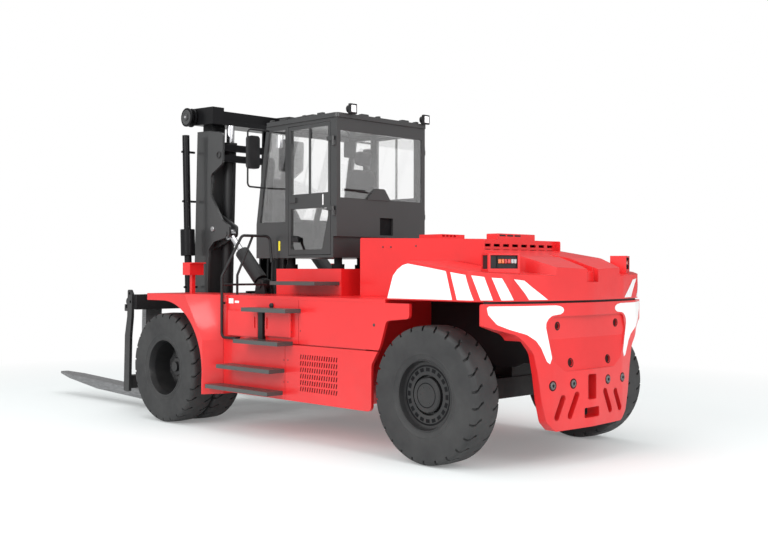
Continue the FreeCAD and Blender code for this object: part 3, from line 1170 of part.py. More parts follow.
def lift_rods():
    """Chromed lift rods from the barrels up to the crosshead."""
    left = rod((LIFT_CYLINDER_X, LIFT_CYLINDER_Y, 3560 - LIFT_STROKE - 500), (LIFT_CYLINDER_X, LIFT_CYLINDER_Y,
               HEAD_BOTTOM - 0.3), LIFT_ROD_RADIUS)
    return both_sides(left)


def hose_guide():
    """Hose conduit and reel on the left of the mast, on clamps."""
    x = UPRIGHT_FRONT - 60
    y = 830
    tube = rod((x, y, 1500), (x, y, 3700), 36)
    sleeve = rod((x, y, 2090), (x, y, 2450), 62)
    clamps = [box(x - 25, x + 25, UPRIGHT_OUTER_Y + 0.3, y, z, z + 30) for z in (1650, 2650, 3420)]
    return fuse([tube, sleeve] + clamps)


def reel():
    """Hose reel beside the crosshead: flanged drum on a short spindle."""
    y0 = HEAD_HALF_WIDTH + RUNNING_GAP
    x = UPRIGHT_FRONT - 10
    hub = rod((x, y0, 3930), (x, y0 + 110, 3930), 70)
    flanges = [rod((x, y0 + d, 3930), (x, y0 + d + 16, 3930), 125) for d in (20, 94)]
    return fuse([hub] + flanges)


left_upright = lean(mast_upright())
nodes["mast_ties"] = lean(mast_ties())
nodes["lift_cylinders"] = lean(lift_barrels())
nodes["inner_mast"] = lean(inner_mast())
nodes["lift_rods"] = lean(lift_rods())
nodes["hose_guide"] = lean(hose_guide())
nodes["hose_reel"] = lean(reel())


# ---------------------------------------------------------------------------
# Tilt cylinders
# ---------------------------------------------------------------------------
def tilt_cylinder():
    """Left tilt cylinder as barrel and rod, along the line of its two pins."""
    base = V(TILT_BASE_X, TILT_Y, TILT_BASE_Z)
    lug = V(TILT_LUG_X, TILT_Y, TILT_LUG_Z)
    along = (lug - base).normalize()
    length = (lug - base).Length
    barrel = Part.makeCylinder(TILT_BARREL_RADIUS, 530, base + along * 85, along)
    bore = Part.makeCylinder(TILT_ROD_RADIUS + RUNNING_GAP, 600, base + along * 130, along)
    eye = rod((base.x, TILT_Y - 33, base.z), (base.x, TILT_Y + 33, base.z), 88)
    pin_bore = rod((base.x, 400, base.z), (base.x, 900, base.z), TILT_PIN + RUNNING_GAP)
    barrel = cut(cut(barrel, [bore]).fuse(eye), [pin_bore])
    shaft = Part.makeCylinder(TILT_ROD_RADIUS, length - 470, base + along * 430, along)
    rod_eye = rod((lug.x, TILT_Y - 33, lug.z), (lug.x, TILT_Y + 33, lug.z), 76)
    piston_rod = cut(fuse([shaft, rod_eye]), [rod((lug.x, 400, lug.z), (lug.x, 900, lug.z), TILT_PIN + 14)])
    return barrel, piston_rod


tilt_barrel, tilt_rod = tilt_cylinder()
nodes["tilt_barrel_left"] = tilt_barrel
nodes["tilt_barrel_right"] = mirrored(tilt_barrel)
nodes["tilt_rod_left"] = tilt_rod
nodes["tilt_rod_right"] = mirrored(tilt_rod)
lug_pin = rod((TILT_LUG_X, TILT_Y - 72, TILT_LUG_Z), (TILT_LUG_X, UPRIGHT_OUTER_Y + 45, TILT_LUG_Z), TILT_PIN - 4)
nodes["outer_mast"] = both_sides(fuse([left_upright, lug_pin]))


# ---------------------------------------------------------------------------
# Carriage and forks
# ---------------------------------------------------------------------------
def carriage():
    """Fork carriage: roller brackets, cross bars, side plates and hanger bar."""
    pieces = []
    inner_y = UPRIGHT_OUTER_Y - UPRIGHT_WEB - STAGE_CLEARANCE - 205
    for side in (1, -1):
        arm_x = CARRIAGE_BACK - 260
        bracket = side_profile([(arm_x, 470), (CARRIAGE_BACK + 20, 470), (CARRIAGE_BACK + 20, 1560),
                                (arm_x, 1500)],
                               side * (inner_y - 12), side * (inner_y - 62), [40, 0, 0, 40])
        plate = box(CARRIAGE_BACK, CARRIAGE_BACK + 40, side * 280, side * 620, CARRIAGE_BOTTOM + 60, CARRIAGE_TOP - 20)
        cheek = side_profile([
            (CARRIAGE_FACE - 130, CARRIAGE_BOTTOM), (CARRIAGE_FACE, CARRIAGE_BOTTOM), (CARRIAGE_FACE, 980),
            (CARRIAGE_FACE - 50, 1240), (CARRIAGE_FACE - 50, CARRIAGE_TOP), (CARRIAGE_FACE - 110, CARRIAGE_TOP),
            (CARRIAGE_FACE - 160, 1540), (CARRIAGE_FACE - 160, 1240), (CARRIAGE_FACE - 130, 980)],
            side * CARRIAGE_HALF_WIDTH, side * (CARRIAGE_HALF_WIDTH - CHEEK), [20, 20, 60, 60, 25, 25, 40, 60, 60])
        hook_x = CARRIAGE_FACE - 60
        hook = side_profile([(hook_x, 1310), (CARRIAGE_FACE + 20, 1310), (CARRIAGE_FACE + 20, 1400),
                             (CARRIAGE_FACE - 6, 1400), (CARRIAGE_FACE - 6, 1350), (hook_x, 1350)],
                            side * CARRIAGE_HALF_WIDTH, side * (CARRIAGE_HALF_WIDTH - CHEEK), [0, 12, 6, 6, 8, 0])
        eyes = [rod((x, side * (CARRIAGE_HALF_WIDTH - CHEEK - 5), z), (x, side * (CARRIAGE_HALF_WIDTH + 5), z),
                    CHEEK_EYE_RADIUS)
                for x, z in ((CHEEK_EYE_LOW_X, CHEEK_EYE_LOW_Z), (CHEEK_EYE_HIGH_X, CHEEK_EYE_HIGH_Z))]
        cheek = cut(fuse([cheek, hook]), eyes)
        rollers = []
        for z in (570, 1390):
            centre_x = UPRIGHT_FRONT - UPRIGHT_DEPTH / 2
            rollers.append(rod((centre_x, side * (inner_y - 20), z), (centre_x, side * (inner_y + 150), z),
                               CARRIAGE_ROLLER_RADIUS))
        pieces += [bracket, plate, cheek] + rollers
    back = CARRIAGE_BACK + 20
    top_bar = box(back, CARRIAGE_FACE - 165, -620, 620, 1370, 1510)
    top_rail = box(CARRIAGE_FACE - 215, CARRIAGE_FACE - 140, -CARRIAGE_HALF_WIDTH + CHEEK, CARRIAGE_HALF_WIDTH - CHEEK,
                   1340, 1540)
    low_bar = box(back, CARRIAGE_FACE - 60, -620, 620, CARRIAGE_BOTTOM + 60, CARRIAGE_BOTTOM + 190)
    low_rail = box(CARRIAGE_FACE - 110, CARRIAGE_FACE, -CARRIAGE_HALF_WIDTH + 20, CARRIAGE_HALF_WIDTH - 20,
                   CARRIAGE_BOTTOM + 40, CARRIAGE_BOTTOM + 210)
    hanger = rod((HANGER_X, -CARRIAGE_HALF_WIDTH + 10, HANGER_Z), (HANGER_X, CARRIAGE_HALF_WIDTH - 10, HANGER_Z),
                 HANGER_RADIUS)
    return fuse(pieces + [top_bar, top_rail, low_bar, low_rail, hanger])


def fork():
    """Left fork: tapered blade, upright shank and an eye round the hanger."""
    x0 = CARRIAGE_FACE + 6
    tip = x0 + FORK_LENGTH + FORK_SHANK
    top = FORK_UNDERSIDE + FORK_THICKNESS
    y0 = FORK_Y - FORK_WIDTH / 2
    y1 = FORK_Y + FORK_WIDTH / 2
    blade = side_profile([(x0, FORK_UNDERSIDE), (x0 + 1300, FORK_UNDERSIDE), (tip, top - 26), (tip, top),
                          (x0 + FORK_SHANK, top), (x0 + FORK_SHANK, HANGER_Z + 40), (x0 + 60, HANGER_Z + 90),
                          (x0, HANGER_Z + 90)], y0, y1, [70, 400, 6, 6, 25, 40, 20, 0])
    eye = rod((HANGER_X, y0, HANGER_Z), (HANGER_X, y1, HANGER_Z), HANGER_RADIUS + 34)
    link = box(HANGER_X, x0 + 50, y0, y1, HANGER_Z - 80, HANGER_Z + 84)
    bore = rod((HANGER_X, y0 - 10, HANGER_Z), (HANGER_X, y1 + 10, HANGER_Z), HANGER_RADIUS + RUNNING_GAP)
    plan = plan_profile([(x0 - 1000, y0), (tip - 420, y0), (tip, FORK_Y - 60), (tip, FORK_Y + 60), (tip - 420, y1),
                         (x0 - 1000, y1)], 0, 2000, [0, 300, 50, 50, 300, 0])
    return cut(fuse([blade, eye, link]).common(plan), [bore])


left_fork = lean(fork())
nodes["carriage"] = lean(carriage())
nodes["fork_left"] = left_fork
nodes["fork_right"] = mirrored(left_fork)


# ---------------------------------------------------------------------------
# Settle the truck on its origin and write every node
# ---------------------------------------------------------------------------
FRONT_END = max(shape.BoundBox.XMax for shape in nodes.values())
REAR_END = min(shape.BoundBox.XMin for shape in nodes.values())
ORIGIN_X = (FRONT_END + REAR_END) / 2

for name, shape in nodes.items():
    placed = shape.copy()
    placed.translate(V(-ORIGIN_X, 0, 0))
    placed.exportStep(os.path.join(OUT, name + ".step"))
    solids = placed.Solids
    print(f"{name:22s} solids {len(solids):2d} valid {placed.isValid()} volume {placed.Volume / 1e9:8.4f} m3")
print("origin at", round(ORIGIN_X, 4), "mm ahead of the steer axle")
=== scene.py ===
"""Dress of a heavy counterbalanced forklift truck, laid over its packed construction.

Every length is in metres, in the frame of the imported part: +X towards the fork tips,
+Y to the driver's left, +Z up, with the ground at zero.  Each sub-assembly is a class
that keeps its sizes, builds its meshes from surfaces of two parameters and dresses the
construction's own nodes with their finishes.
"""

import logging
import math
from dataclasses import dataclass, field
from enum import Enum
from typing import Iterable, Protocol, Sequence

import bpy
import numpy as np
from mathutils import Matrix, Vector


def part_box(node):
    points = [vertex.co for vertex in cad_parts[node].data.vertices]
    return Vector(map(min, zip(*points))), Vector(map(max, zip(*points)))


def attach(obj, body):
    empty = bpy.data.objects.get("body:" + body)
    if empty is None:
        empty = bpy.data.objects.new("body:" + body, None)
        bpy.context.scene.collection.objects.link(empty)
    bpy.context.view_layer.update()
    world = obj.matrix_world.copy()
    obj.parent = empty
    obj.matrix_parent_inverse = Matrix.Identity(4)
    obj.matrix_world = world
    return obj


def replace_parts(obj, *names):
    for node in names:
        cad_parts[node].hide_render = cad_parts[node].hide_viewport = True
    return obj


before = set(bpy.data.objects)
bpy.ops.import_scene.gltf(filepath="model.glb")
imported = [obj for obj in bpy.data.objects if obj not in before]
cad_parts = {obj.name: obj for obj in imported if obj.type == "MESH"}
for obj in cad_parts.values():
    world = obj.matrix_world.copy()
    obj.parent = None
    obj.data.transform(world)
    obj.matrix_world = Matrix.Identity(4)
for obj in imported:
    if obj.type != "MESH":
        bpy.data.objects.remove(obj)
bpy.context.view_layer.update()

LOG = logging.getLogger("forklift")
Array = np.ndarray
Span = tuple[float, float]
Place = tuple[float, float, float]
Face = list[int]
NODES: dict[str, bpy.types.Object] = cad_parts
STEER_AXLE_X: float = (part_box("tyre_rear_left")[0].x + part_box("tyre_rear_left")[1].x) / 2
LEVEL_WITH_WAY = 1e-12
EDGE_SLACK = 1e-5


# ---------------------------------------------------------------------------
# Surfaces on grids
# ---------------------------------------------------------------------------
def unit(vector: Sequence[float]) -> Array:
    """A vector brought to length one.

    Args:
        vector: three components.

    Returns:
        The same direction with length one.
    """
    out = np.asarray(vector, float)
    return out / np.linalg.norm(out)


def square_axes(axis: Sequence[float]) -> tuple[Array, Array, Array]:
    """Two unit vectors square to an axis and to each other.

    The helper direction is the row axis that lies furthest from the given one, and the
    two vectors are its cross products with it.

    Args:
        axis: the direction that the two vectors stand square to.

    Returns:
        The first and second square vectors and the unit axis, right-handed.
    """
    w = unit(axis)
    helper = np.eye(3)[int(np.argmin(np.abs(w)))]
    u = unit(np.cross(helper, w))
    return u, np.cross(w, u), w


def grid_faces(rows: int, columns: int, wrap_rows: bool, wrap_columns: bool) -> Array:
    """Four-cornered faces between neighbouring points of a grid.

    Args:
        rows: points along the first parameter.
        columns: points along the second parameter.
        wrap_rows: join the last row to the first.
        wrap_columns: join the last column to the first.

    Returns:
        An array of corner numbers, one face a line.
    """
    r = np.arange(rows if wrap_rows else rows - 1)
    c = np.arange(columns if wrap_columns else columns - 1)
    rr, cc = np.meshgrid(r, c, indexing="ij")
    down = (rr + 1) % rows
    right = (cc + 1) % columns
    corners = [rr * columns + cc, down * columns + cc, down * columns + right, rr * columns + right]
    return np.stack(corners, axis=-1).reshape(-1, 4)


@dataclass
class Skin:
    """Points and faces of one piece, gathered from several surfaces."""

    points: list[Array] = field(default_factory=list)
    faces: list[Face] = field(default_factory=list)
    count: int = 0

    def add(self, points: Array, faces: Iterable[Sequence[int]]) -> None:
        """Take in a loose set of points with its own faces.

        Args:
            points: an array of positions, one a line.
            faces: corner numbers that start at zero for this set.
        """
        flat = np.asarray(points, float).reshape(-1, 3)
        shifted = [[int(i) + self.count for i in face] for face in faces]
        self.points.append(flat)
        self.faces.extend(shifted)
        self.count += len(flat)

    def add_grid(self, grid: Array, wrap_rows: bool = False, wrap_columns: bool = False) -> None:
        """Take in a surface given as a grid of positions.

        Args:
            grid: positions, rows by columns by three.
            wrap_rows: join the last row to the first.
            wrap_columns: join the last column to the first.
        """
        rows, columns = grid.shape[:2]
        self.add(grid.reshape(-1, 3), grid_faces(rows, columns, wrap_rows, wrap_columns).tolist())

    def add_copies(self, points: Array, faces: Array, places: Array) -> None:
        """Take in one small shape at many places at once.

        Args:
            points: the shape's own positions.
            faces: its faces, all with as many corners.
            places: where its origin goes, one place a line.
        """
        places = np.asarray(places, float).reshape(-1, 3)
        faces = np.asarray(faces)
        many = (points[None, :, :] + places[:, None, :]).reshape(-1, 3)
        steps = (np.arange(len(places)) * len(points))[:, None, None]
        self.add(many, (faces[None] + steps).reshape(-1, faces.shape[1]).tolist())

    def build(self, name: str, finish: bpy.types.Material, body: str, slot: str,
              sharp_deg: float = 35.0) -> bpy.types.Object:
        """Make the piece's object, dress it and let it ride on its body.

        Args:
            name: the piece's name.
            finish: its material.
            body: the body that carries it.
            slot: the record's material slot; not used.
            sharp_deg: edges that turn by more than this stay crisp.

        Returns:
            The finished object.
        """
        mesh = bpy.data.meshes.new(name)
        mesh.from_pydata(np.concatenate(self.points).tolist(), [], self.faces)
        mesh.validate()
        mesh.shade_smooth()
        mesh.set_sharp_from_angle(angle=math.radians(sharp_deg))
        mesh.materials.append(finish)
        piece = bpy.data.objects.new(name, mesh)
        bpy.context.scene.collection.objects.link(piece)
        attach(piece, body)
        LOG.info("%s: %d faces on %s", name, len(self.faces), body)
        return piece


def revolved(profile: Sequence[Sequence[float]], centre: Sequence[float], axis: Sequence[float],
             segments: int) -> Array:
    """Surface swept by a profile that turns about an axis.

    A point at radius r and height h along the axis goes to
    centre + h*axis + r*(cos(t)*u + sin(t)*v), for t round the circle.

    Args:
        profile: (radius, height) pairs from one end to the other.
        centre: where height zero lies on the axis.
        axis: the direction of growing height.
        segments: how many steps the circle takes.

    Returns:
        A grid, profile points by segments, to be wrapped along its columns.
    """
    u, v, w = square_axes(axis)
    p = np.asarray(profile, float)
    t = np.linspace(0.0, 2.0 * math.pi, segments, endpoint=False)
    circle = np.cos(t)[:, None] * u + np.sin(t)[:, None] * v
    return np.asarray(centre, float) + p[:, 1, None, None] * w + p[:, 0, None, None] * circle[None]


def smooth_path(points: Sequence[Sequence[float]], steps: int) -> Array:
    """Round line through the given points, by Catmull-Rom pieces.

    Between two points the line is the cubic whose slope at each point is half the
    chord of that point's two neighbours.

    Args:
        points: the points that it goes through.
        steps: positions worked out on each piece.

    Returns:
        Positions along the line.
    """
    p = np.asarray(points, float)
    ends = np.concatenate([[2 * p[0] - p[1]], p, [2 * p[-1] - p[-2]]])
    t = np.linspace(0.0, 1.0, steps, endpoint=False)[None, :, None]
    a, b, c, d = (ends[i:len(ends) - 3 + i][:, None, :] for i in range(4))
    square = (2 * a - 5 * b + 4 * c - d) * t ** 2
    cube = (3 * b - a - 3 * c + d) * t ** 3
    line = 0.5 * ((2 * b) + (c - a) * t + square + cube)
    return np.concatenate([line.reshape(-1, 3), p[-1:]])


def tube(path: Array, radius: float, sides: int) -> Array:
    """Round tube along a line.

    Each ring stands square to the line's direction; its first spoke is the last ring's
    first spoke with its part along the new direction taken out.

    Args:
        path: positions along the line.
        radius: the tube's radius.
        sides: points on each ring.

    Returns:
        A grid, rings by sides, to be wrapped along its columns.
    """
    way = np.gradient(path, axis=0)
    way /= np.linalg.norm(way, axis=1)[:, None]
    spokes = np.zeros_like(path)
    spoke = square_axes(way[0])[0]
    for i, direction in enumerate(way):
        spoke = unit(spoke - direction * float(spoke @ direction))
        spokes[i] = spoke
    other = np.cross(way, spokes)
    t = np.linspace(0.0, 2.0 * math.pi, sides, endpoint=False)[None, :, None]
    return path[:, None] + radius * (np.cos(t) * spokes[:, None] + np.sin(t) * other[:, None])


def hex_head(across: float, height: float, axis: Sequence[float]) -> tuple[Array, Array]:
    """Hexagon bolt head on a round washer, as small as it can be drawn.

    The outline is six-sided at four heights, drawn in at the top for the chamfer.

    Args:
        across: width over the corners.
        height: the head's height above its seat.
        axis: the direction that it stands up in.

    Returns:
        Its points about its seat, and its faces.
    """
    r = across / 2
    washer, seat = r * 1.35, height * 0.22
    profile = [(washer, 0.0), (washer, seat), (r, seat), (r, height * 0.86), (r * 0.84, height), (0.0005, height)]
    grid = revolved(profile, (0, 0, 0), axis, 6)
    return grid.reshape(-1, 3), grid_faces(len(profile), 6, False, True)


def round_places(centre: Sequence[float], axis: Sequence[float], radius: float, count: int,
                 phase: float = 0.0) -> Array:
    """Evenly spaced places on a circle.

    Args:
        centre: the circle's centre.
        axis: its normal.
        radius: its radius.
        count: how many places.
        phase: turn of the first place, in radians.

    Returns:
        The places, one a line.
    """
    u, v, _ = square_axes(axis)
    t = phase + np.arange(count) * 2 * math.pi / count
    return np.asarray(centre, float) + radius * (np.cos(t)[:, None] * u + np.sin(t)[:, None] * v)


def slab(corner_low: Sequence[float], corner_high: Sequence[float], edge: float) -> tuple[Array, list[Face]]:
    """Block with its edges drawn in by a small chamfer.

    Each of the eight corners gives three points, one for each face that meets there,
    so that faces, edges and corners are 6, 12 and 8 polygons.

    Args:
        corner_low: lowest corner.
        corner_high: highest corner.
        edge: width of the chamfer.

    Returns:
        Its points and faces.
    """
    low = np.asarray(corner_low, float)
    high = np.asarray(corner_high, float)
    signs = np.array([[x, y, z] for x in (0, 1) for y in (0, 1) for z in (0, 1)])
    corners = low + (high - low) * signs
    inward = (1 - 2 * signs) * edge
    points = np.stack([corners + inward * (1 - np.eye(3)[k]) for k in range(3)], axis=1).reshape(-1, 3)

    def at(s: Sequence[int], k: int) -> int:
        """Number of the point at one corner that belongs to the face square to axis k."""
        return (s[0] * 4 + s[1] * 2 + s[2]) * 3 + k

    faces: list[Face] = []
    for k in range(3):
        i, j = [(1, 2), (2, 0), (0, 1)][k]
        for side in (0, 1):
            loop = []
            for a, b in ((0, 0), (1, 0), (1, 1), (0, 1)):
                s = [0, 0, 0]
                s[k], s[i], s[j] = side, a, b
                loop.append(at(s, k))
            faces.append(loop if side else loop[::-1])
    for k in range(3):
        i, j = [(1, 2), (2, 0), (0, 1)][k]
        for a in (0, 1):
            for b in (0, 1):
                s0, s1 = [0, 0, 0], [0, 0, 0]
                s0[i] = s1[i] = a
                s0[j] = s1[j] = b
                s1[k] = 1
                loop = [at(s0, i), at(s1, i), at(s1, j), at(s0, j)]
                faces.append(loop if (a + b) % 2 == 0 else loop[::-1])
    for s in signs:
        loop = [at(s, 0), at(s, 1), at(s, 2)]
        faces.append(loop if s.sum() % 2 else loop[::-1])
    return points, faces


@dataclass(frozen=True)
class Block:
    """Block between two corners, with chamfered edges."""

    low: Place
    high: Place
    edge: float

    def add_to(self, skin: Skin) -> None:
        """Put the block into a piece."""
        skin.add(*slab(self.low, self.high, self.edge))


@dataclass(frozen=True)
class ScrewCircle:
    """Even circle of small hexagon heads."""

    across: float
    height: float
    radius: float
    count: int
    phase: float = 0.0

    def add_to(self, skin: Skin, centre: Sequence[float], axis: Sequence[float]) -> None:
        """Put the heads into a piece.

        Args:
            skin: the piece that takes them in.
            centre: the circle's centre, level with their seats.
            axis: the direction that they stand up in.
        """
        points, faces = hex_head(self.across, self.height, axis)
        skin.add_copies(points, faces, round_places(centre, axis, self.radius, self.count, self.phase))


def triangles_of(node: str) -> Array:
    """Corners of a construction node's triangles.

    Args:
        node: the node's name.

    Returns:
        An array, triangles by three corners by three.
    """
    mesh = NODES[node].data
    mesh.calc_loop_triangles()
    places = np.empty(len(mesh.vertices) * 3)
    mesh.vertices.foreach_get("co", places)
    corners = np.empty(len(mesh.loop_triangles) * 3, dtype=np.int64)
    mesh.loop_triangles.foreach_get("vertices", corners)
    return places.reshape(-1, 3)[corners.reshape(-1, 3)]


def fallen(points: Array, way: Sequence[float], node: str, proud: float, batch: int = 96) -> Array:
    """Points dropped on to a construction node along a straight way.

    The line p + t*way is cut with every triangle at once by Cramer's rule, and the
    least t of all cuts inside a triangle is taken.  The point then stands back from
    the surface by the given distance.  A point that misses takes its t from the
    nearest points of the same array that hit.

    Args:
        points: positions, in any grid.
        way: the direction that they fall in.
        node: the node that they fall on.
        proud: distance that they keep from the surface.
        batch: how many points are worked out together.

    Returns:
        Positions in the same grid.
    """
    w = unit(way)
    soup = triangles_of(node)
    first, second = soup[:, 1] - soup[:, 0], soup[:, 2] - soup[:, 0]
    h = np.cross(w, second)
    a = np.einsum("ij,ij->i", first, h)
    keep = np.abs(a) > LEVEL_WITH_WAY
    soup, first, second, h, a = soup[keep], first[keep], second[keep], h[keep], a[keep]
    flat = np.asarray(points, float).reshape(-1, 3)
    reach = np.full(len(flat), np.nan)
    for start in range(0, len(flat), batch):
        s = flat[start:start + batch, None, :] - soup[None, :, 0]
        u = np.einsum("ijk,jk->ij", s, h) / a
        q = np.cross(s, first[None])
        v = (q @ w) / a
        t = np.einsum("ijk,jk->ij", q, second) / a
        inside = (u >= -EDGE_SLACK) & (v >= -EDGE_SLACK) & (u + v <= 1 + EDGE_SLACK)
        t = np.where(inside & (t > 0), t, np.inf)
        reach[start:start + batch] = t.min(axis=1)
    good = np.isfinite(reach)
    reach = np.interp(np.arange(len(flat)), np.flatnonzero(good), reach[good])
    return (flat + w * (reach[:, None] - proud)).reshape(np.shape(points))


def placed(points: Array, origin: Sequence[float], axes: Sequence[Sequence[float]]) -> Array:
    """Local positions carried into the frame: origin plus each component times its axis."""
    return np.asarray(origin, float) + np.asarray(points, float) @ np.asarray(axes, float)


def puffed(centre: Sequence[float], half: Sequence[float], squareness: float, rows: int = 40,
           columns: int = 64) -> Array:
    """Crowned cushion form whose sides pull in between its corners.

    A point at latitude a and longitude b goes to sign(c)*|c|^(1/n) for each of the
    cosines and sines that a ball has, so that n = 1 is a ball and a larger n is boxier.

    Args:
        centre: the middle of the cushion.
        half: half its length, width and height.
        squareness: the exponent n.
        rows: steps of latitude.
        columns: steps of longitude.

    Returns:
        A grid, rows by columns, to be wrapped along its columns.
    """
    a = np.linspace(-math.pi / 2, math.pi / 2, rows)[:, None]
    b = np.linspace(0.0, 2 * math.pi, columns, endpoint=False)[None, :]

    def power(value: Array) -> Array:
        """Signed root that squares the round form up."""
        return np.sign(value) * np.abs(value) ** (1.0 / squareness)

    x = power(np.cos(a)) * power(np.cos(b))
    y = power(np.cos(a)) * power(np.sin(b))
    z = power(np.sin(a)) * np.ones_like(b)
    return np.asarray(centre, float) + np.stack([x, y, z], axis=-1) * np.asarray(half, float)


# ---------------------------------------------------------------------------
# Finishes
# ---------------------------------------------------------------------------
class Wear(Enum):
    """How much dust and fading a painted piece carries."""

    CLEAN = 0.0
    LIGHT = 0.25
    WORKED = 0.55


class Finish(Protocol):
    """Anything that has a name and can make its material."""

    @property
    def name(self) -> str:
        """The material's name."""

    def material(self) -> bpy.types.Material:
        """The finish as a material."""


@dataclass
class Board:
    """Node tree of one material, with short calls for what the finishes share."""

    name: str
    material: bpy.types.Material = field(init=False)
    shader: bpy.types.Node = field(init=False)
    place: bpy.types.NodeSocket = field(init=False)

    def __post_init__(self) -> None:
        """Start from an empty tree with one shader and the object's coordinates."""
        self.material = bpy.data.materials.new(self.name)
        self.material.use_nodes = True
        tree = self.material.node_tree
        tree.nodes.clear()
        out = tree.nodes.new("ShaderNodeOutputMaterial")
        self.shader = tree.nodes.new("ShaderNodeBsdfPrincipled")
        tree.links.new(self.shader.outputs[0], out.inputs[0])
        self.place = tree.nodes.new("ShaderNodeTexCoord").outputs["Object"]

    def node(self, kind: str, **values: object) -> bpy.types.Node:
        """Add a node and set its plain properties.

        Args:
            kind: the node's type name.
            values: its properties by name.

        Returns:
            The new node.
        """
        made = self.material.node_tree.nodes.new(kind)
        for key, value in values.items():
            setattr(made, key, value)
        return made

    def link(self, source: bpy.types.NodeSocket, target: bpy.types.NodeSocket) -> None:
        """Join one socket to another."""
        self.material.node_tree.links.new(source, target)

    def set(self, **values: object) -> None:
        """Set sockets of the shader, written with underscores for spaces."""
        for key, value in values.items():
            self.shader.inputs[key.replace("_", " ")].default_value = value

    def noise(self, scale: float, detail: float = 3.0,
              stretch: Sequence[float] = (1, 1, 1)) -> bpy.types.NodeSocket:
        """Cloudy pattern fixed to the piece.

        Args:
            scale: how fine it is, in cells to the metre.
            detail: how many finer layers it has.
            stretch: multipliers of the three coordinates, to draw it out.

        Returns:
            A socket from 0 to 1.
        """
        mapping = self.node("ShaderNodeMapping")
        mapping.inputs["Scale"].default_value = stretch
        self.link(self.place, mapping.inputs["Vector"])
        noise = self.node("ShaderNodeTexNoise")
        noise.inputs["Scale"].default_value = scale
        noise.inputs["Detail"].default_value = detail
        self.link(mapping.outputs[0], noise.inputs["Vector"])
        return noise.outputs["Fac"]

    def ramp(self, source: bpy.types.NodeSocket, low: float, high: float, out_low: float = 0.0,
             out_high: float = 1.0) -> bpy.types.NodeSocket:
        """Straight map of one range on to another, held at its ends.

        Args:
            source: the value that is mapped.
            low: where the first range starts.
            high: where it ends.
            out_low: where the second range starts.
            out_high: where it ends.

        Returns:
            The mapped value.
        """
        made = self.node("ShaderNodeMapRange")
        for key, value in (("From Min", low), ("From Max", high), ("To Min", out_low), ("To Max", out_high)):
            made.inputs[key].default_value = value
        self.link(source, made.inputs["Value"])
        return made.outputs["Result"]

    def blend(self, factor: bpy.types.NodeSocket, first: object, second: object) -> bpy.types.NodeSocket:
        """Mix of two colours, each a socket or a list of three numbers.

        Args:
            factor: 0 for the first colour, 1 for the second.
            first: the first colour.
            second: the second colour.

        Returns:
            The mixed colour.
        """
        made = self.node("ShaderNodeMix", data_type="RGBA")
        self.link(factor, made.inputs[0])
        for value, socket in ((first, made.inputs[6]), (second, made.inputs[7])):
            if isinstance(value, bpy.types.NodeSocket):
                self.link(value, socket)
            else:
                socket.default_value = (*value, 1.0)
        return made.outputs[2]

    def worked_out(self, operation: str, first: bpy.types.NodeSocket, second: object) -> bpy.types.NodeSocket:
        """Two values worked together.

        Args:
            operation: what is done with them, by Blender's own name for it.
            first: the first value.
            second: the second value, a socket or a number.

        Returns:
            The outcome.
        """
        made = self.node("ShaderNodeMath", operation=operation)
        self.link(first, made.inputs[0])
        if isinstance(second, bpy.types.NodeSocket):
            self.link(second, made.inputs[1])
        else:
            made.inputs[1].default_value = second
        return made.outputs[0]

    def times(self, first: bpy.types.NodeSocket, second: object) -> bpy.types.NodeSocket:
        """Product of two values."""
        return self.worked_out("MULTIPLY", first, second)

    def larger(self, first: bpy.types.NodeSocket, second: object) -> bpy.types.NodeSocket:
        """The larger of two values."""
        return self.worked_out("MAXIMUM", first, second)

    def mottle(self, pattern: bpy.types.NodeSocket, span: Span, first: object, second: object) -> None:
        """Base colour that goes from one colour to the other across a span of a pattern."""
        self.link(self.blend(self.ramp(pattern, *span), first, second), self.shader.inputs["Base Color"])

    def uneven_gloss(self, pattern: bpy.types.NodeSocket, smooth: float, rough: float) -> None:
        """Roughness that wanders between two values with a pattern."""
        self.link(self.ramp(pattern, 0.3, 0.7, smooth, rough), self.shader.inputs["Roughness"])

    def height_above_ground(self) -> bpy.types.NodeSocket:
        """The piece's own Z as a value.

        Returns:
            The height, in metres.
        """
        made = self.node("ShaderNodeSeparateXYZ")
        self.link(self.place, made.inputs[0])
        return made.outputs["Z"]

    def relief(self, source: bpy.types.NodeSocket, depth: float, soften: float = 0.0) -> None:
        """Bump from a pattern, with the edges rounded as the eye sees them.

        Args:
            source: the pattern that stands up.
            depth: how far it stands up, in metres.
            soften: radius that edges seem rounded by, in metres.
        """
        bump = self.node("ShaderNodeBump")
        bump.inputs["Distance"].default_value = depth
        bump.inputs["Strength"].default_value = 1.0
        self.link(source, bump.inputs["Height"])
        if soften > 0:
            bevel = self.node("ShaderNodeBevel", samples=4)
            bevel.inputs["Radius"].default_value = soften
            self.link(bevel.outputs[0], bump.inputs["Normal"])
        self.link(bump.outputs[0], self.shader.inputs["Normal"])


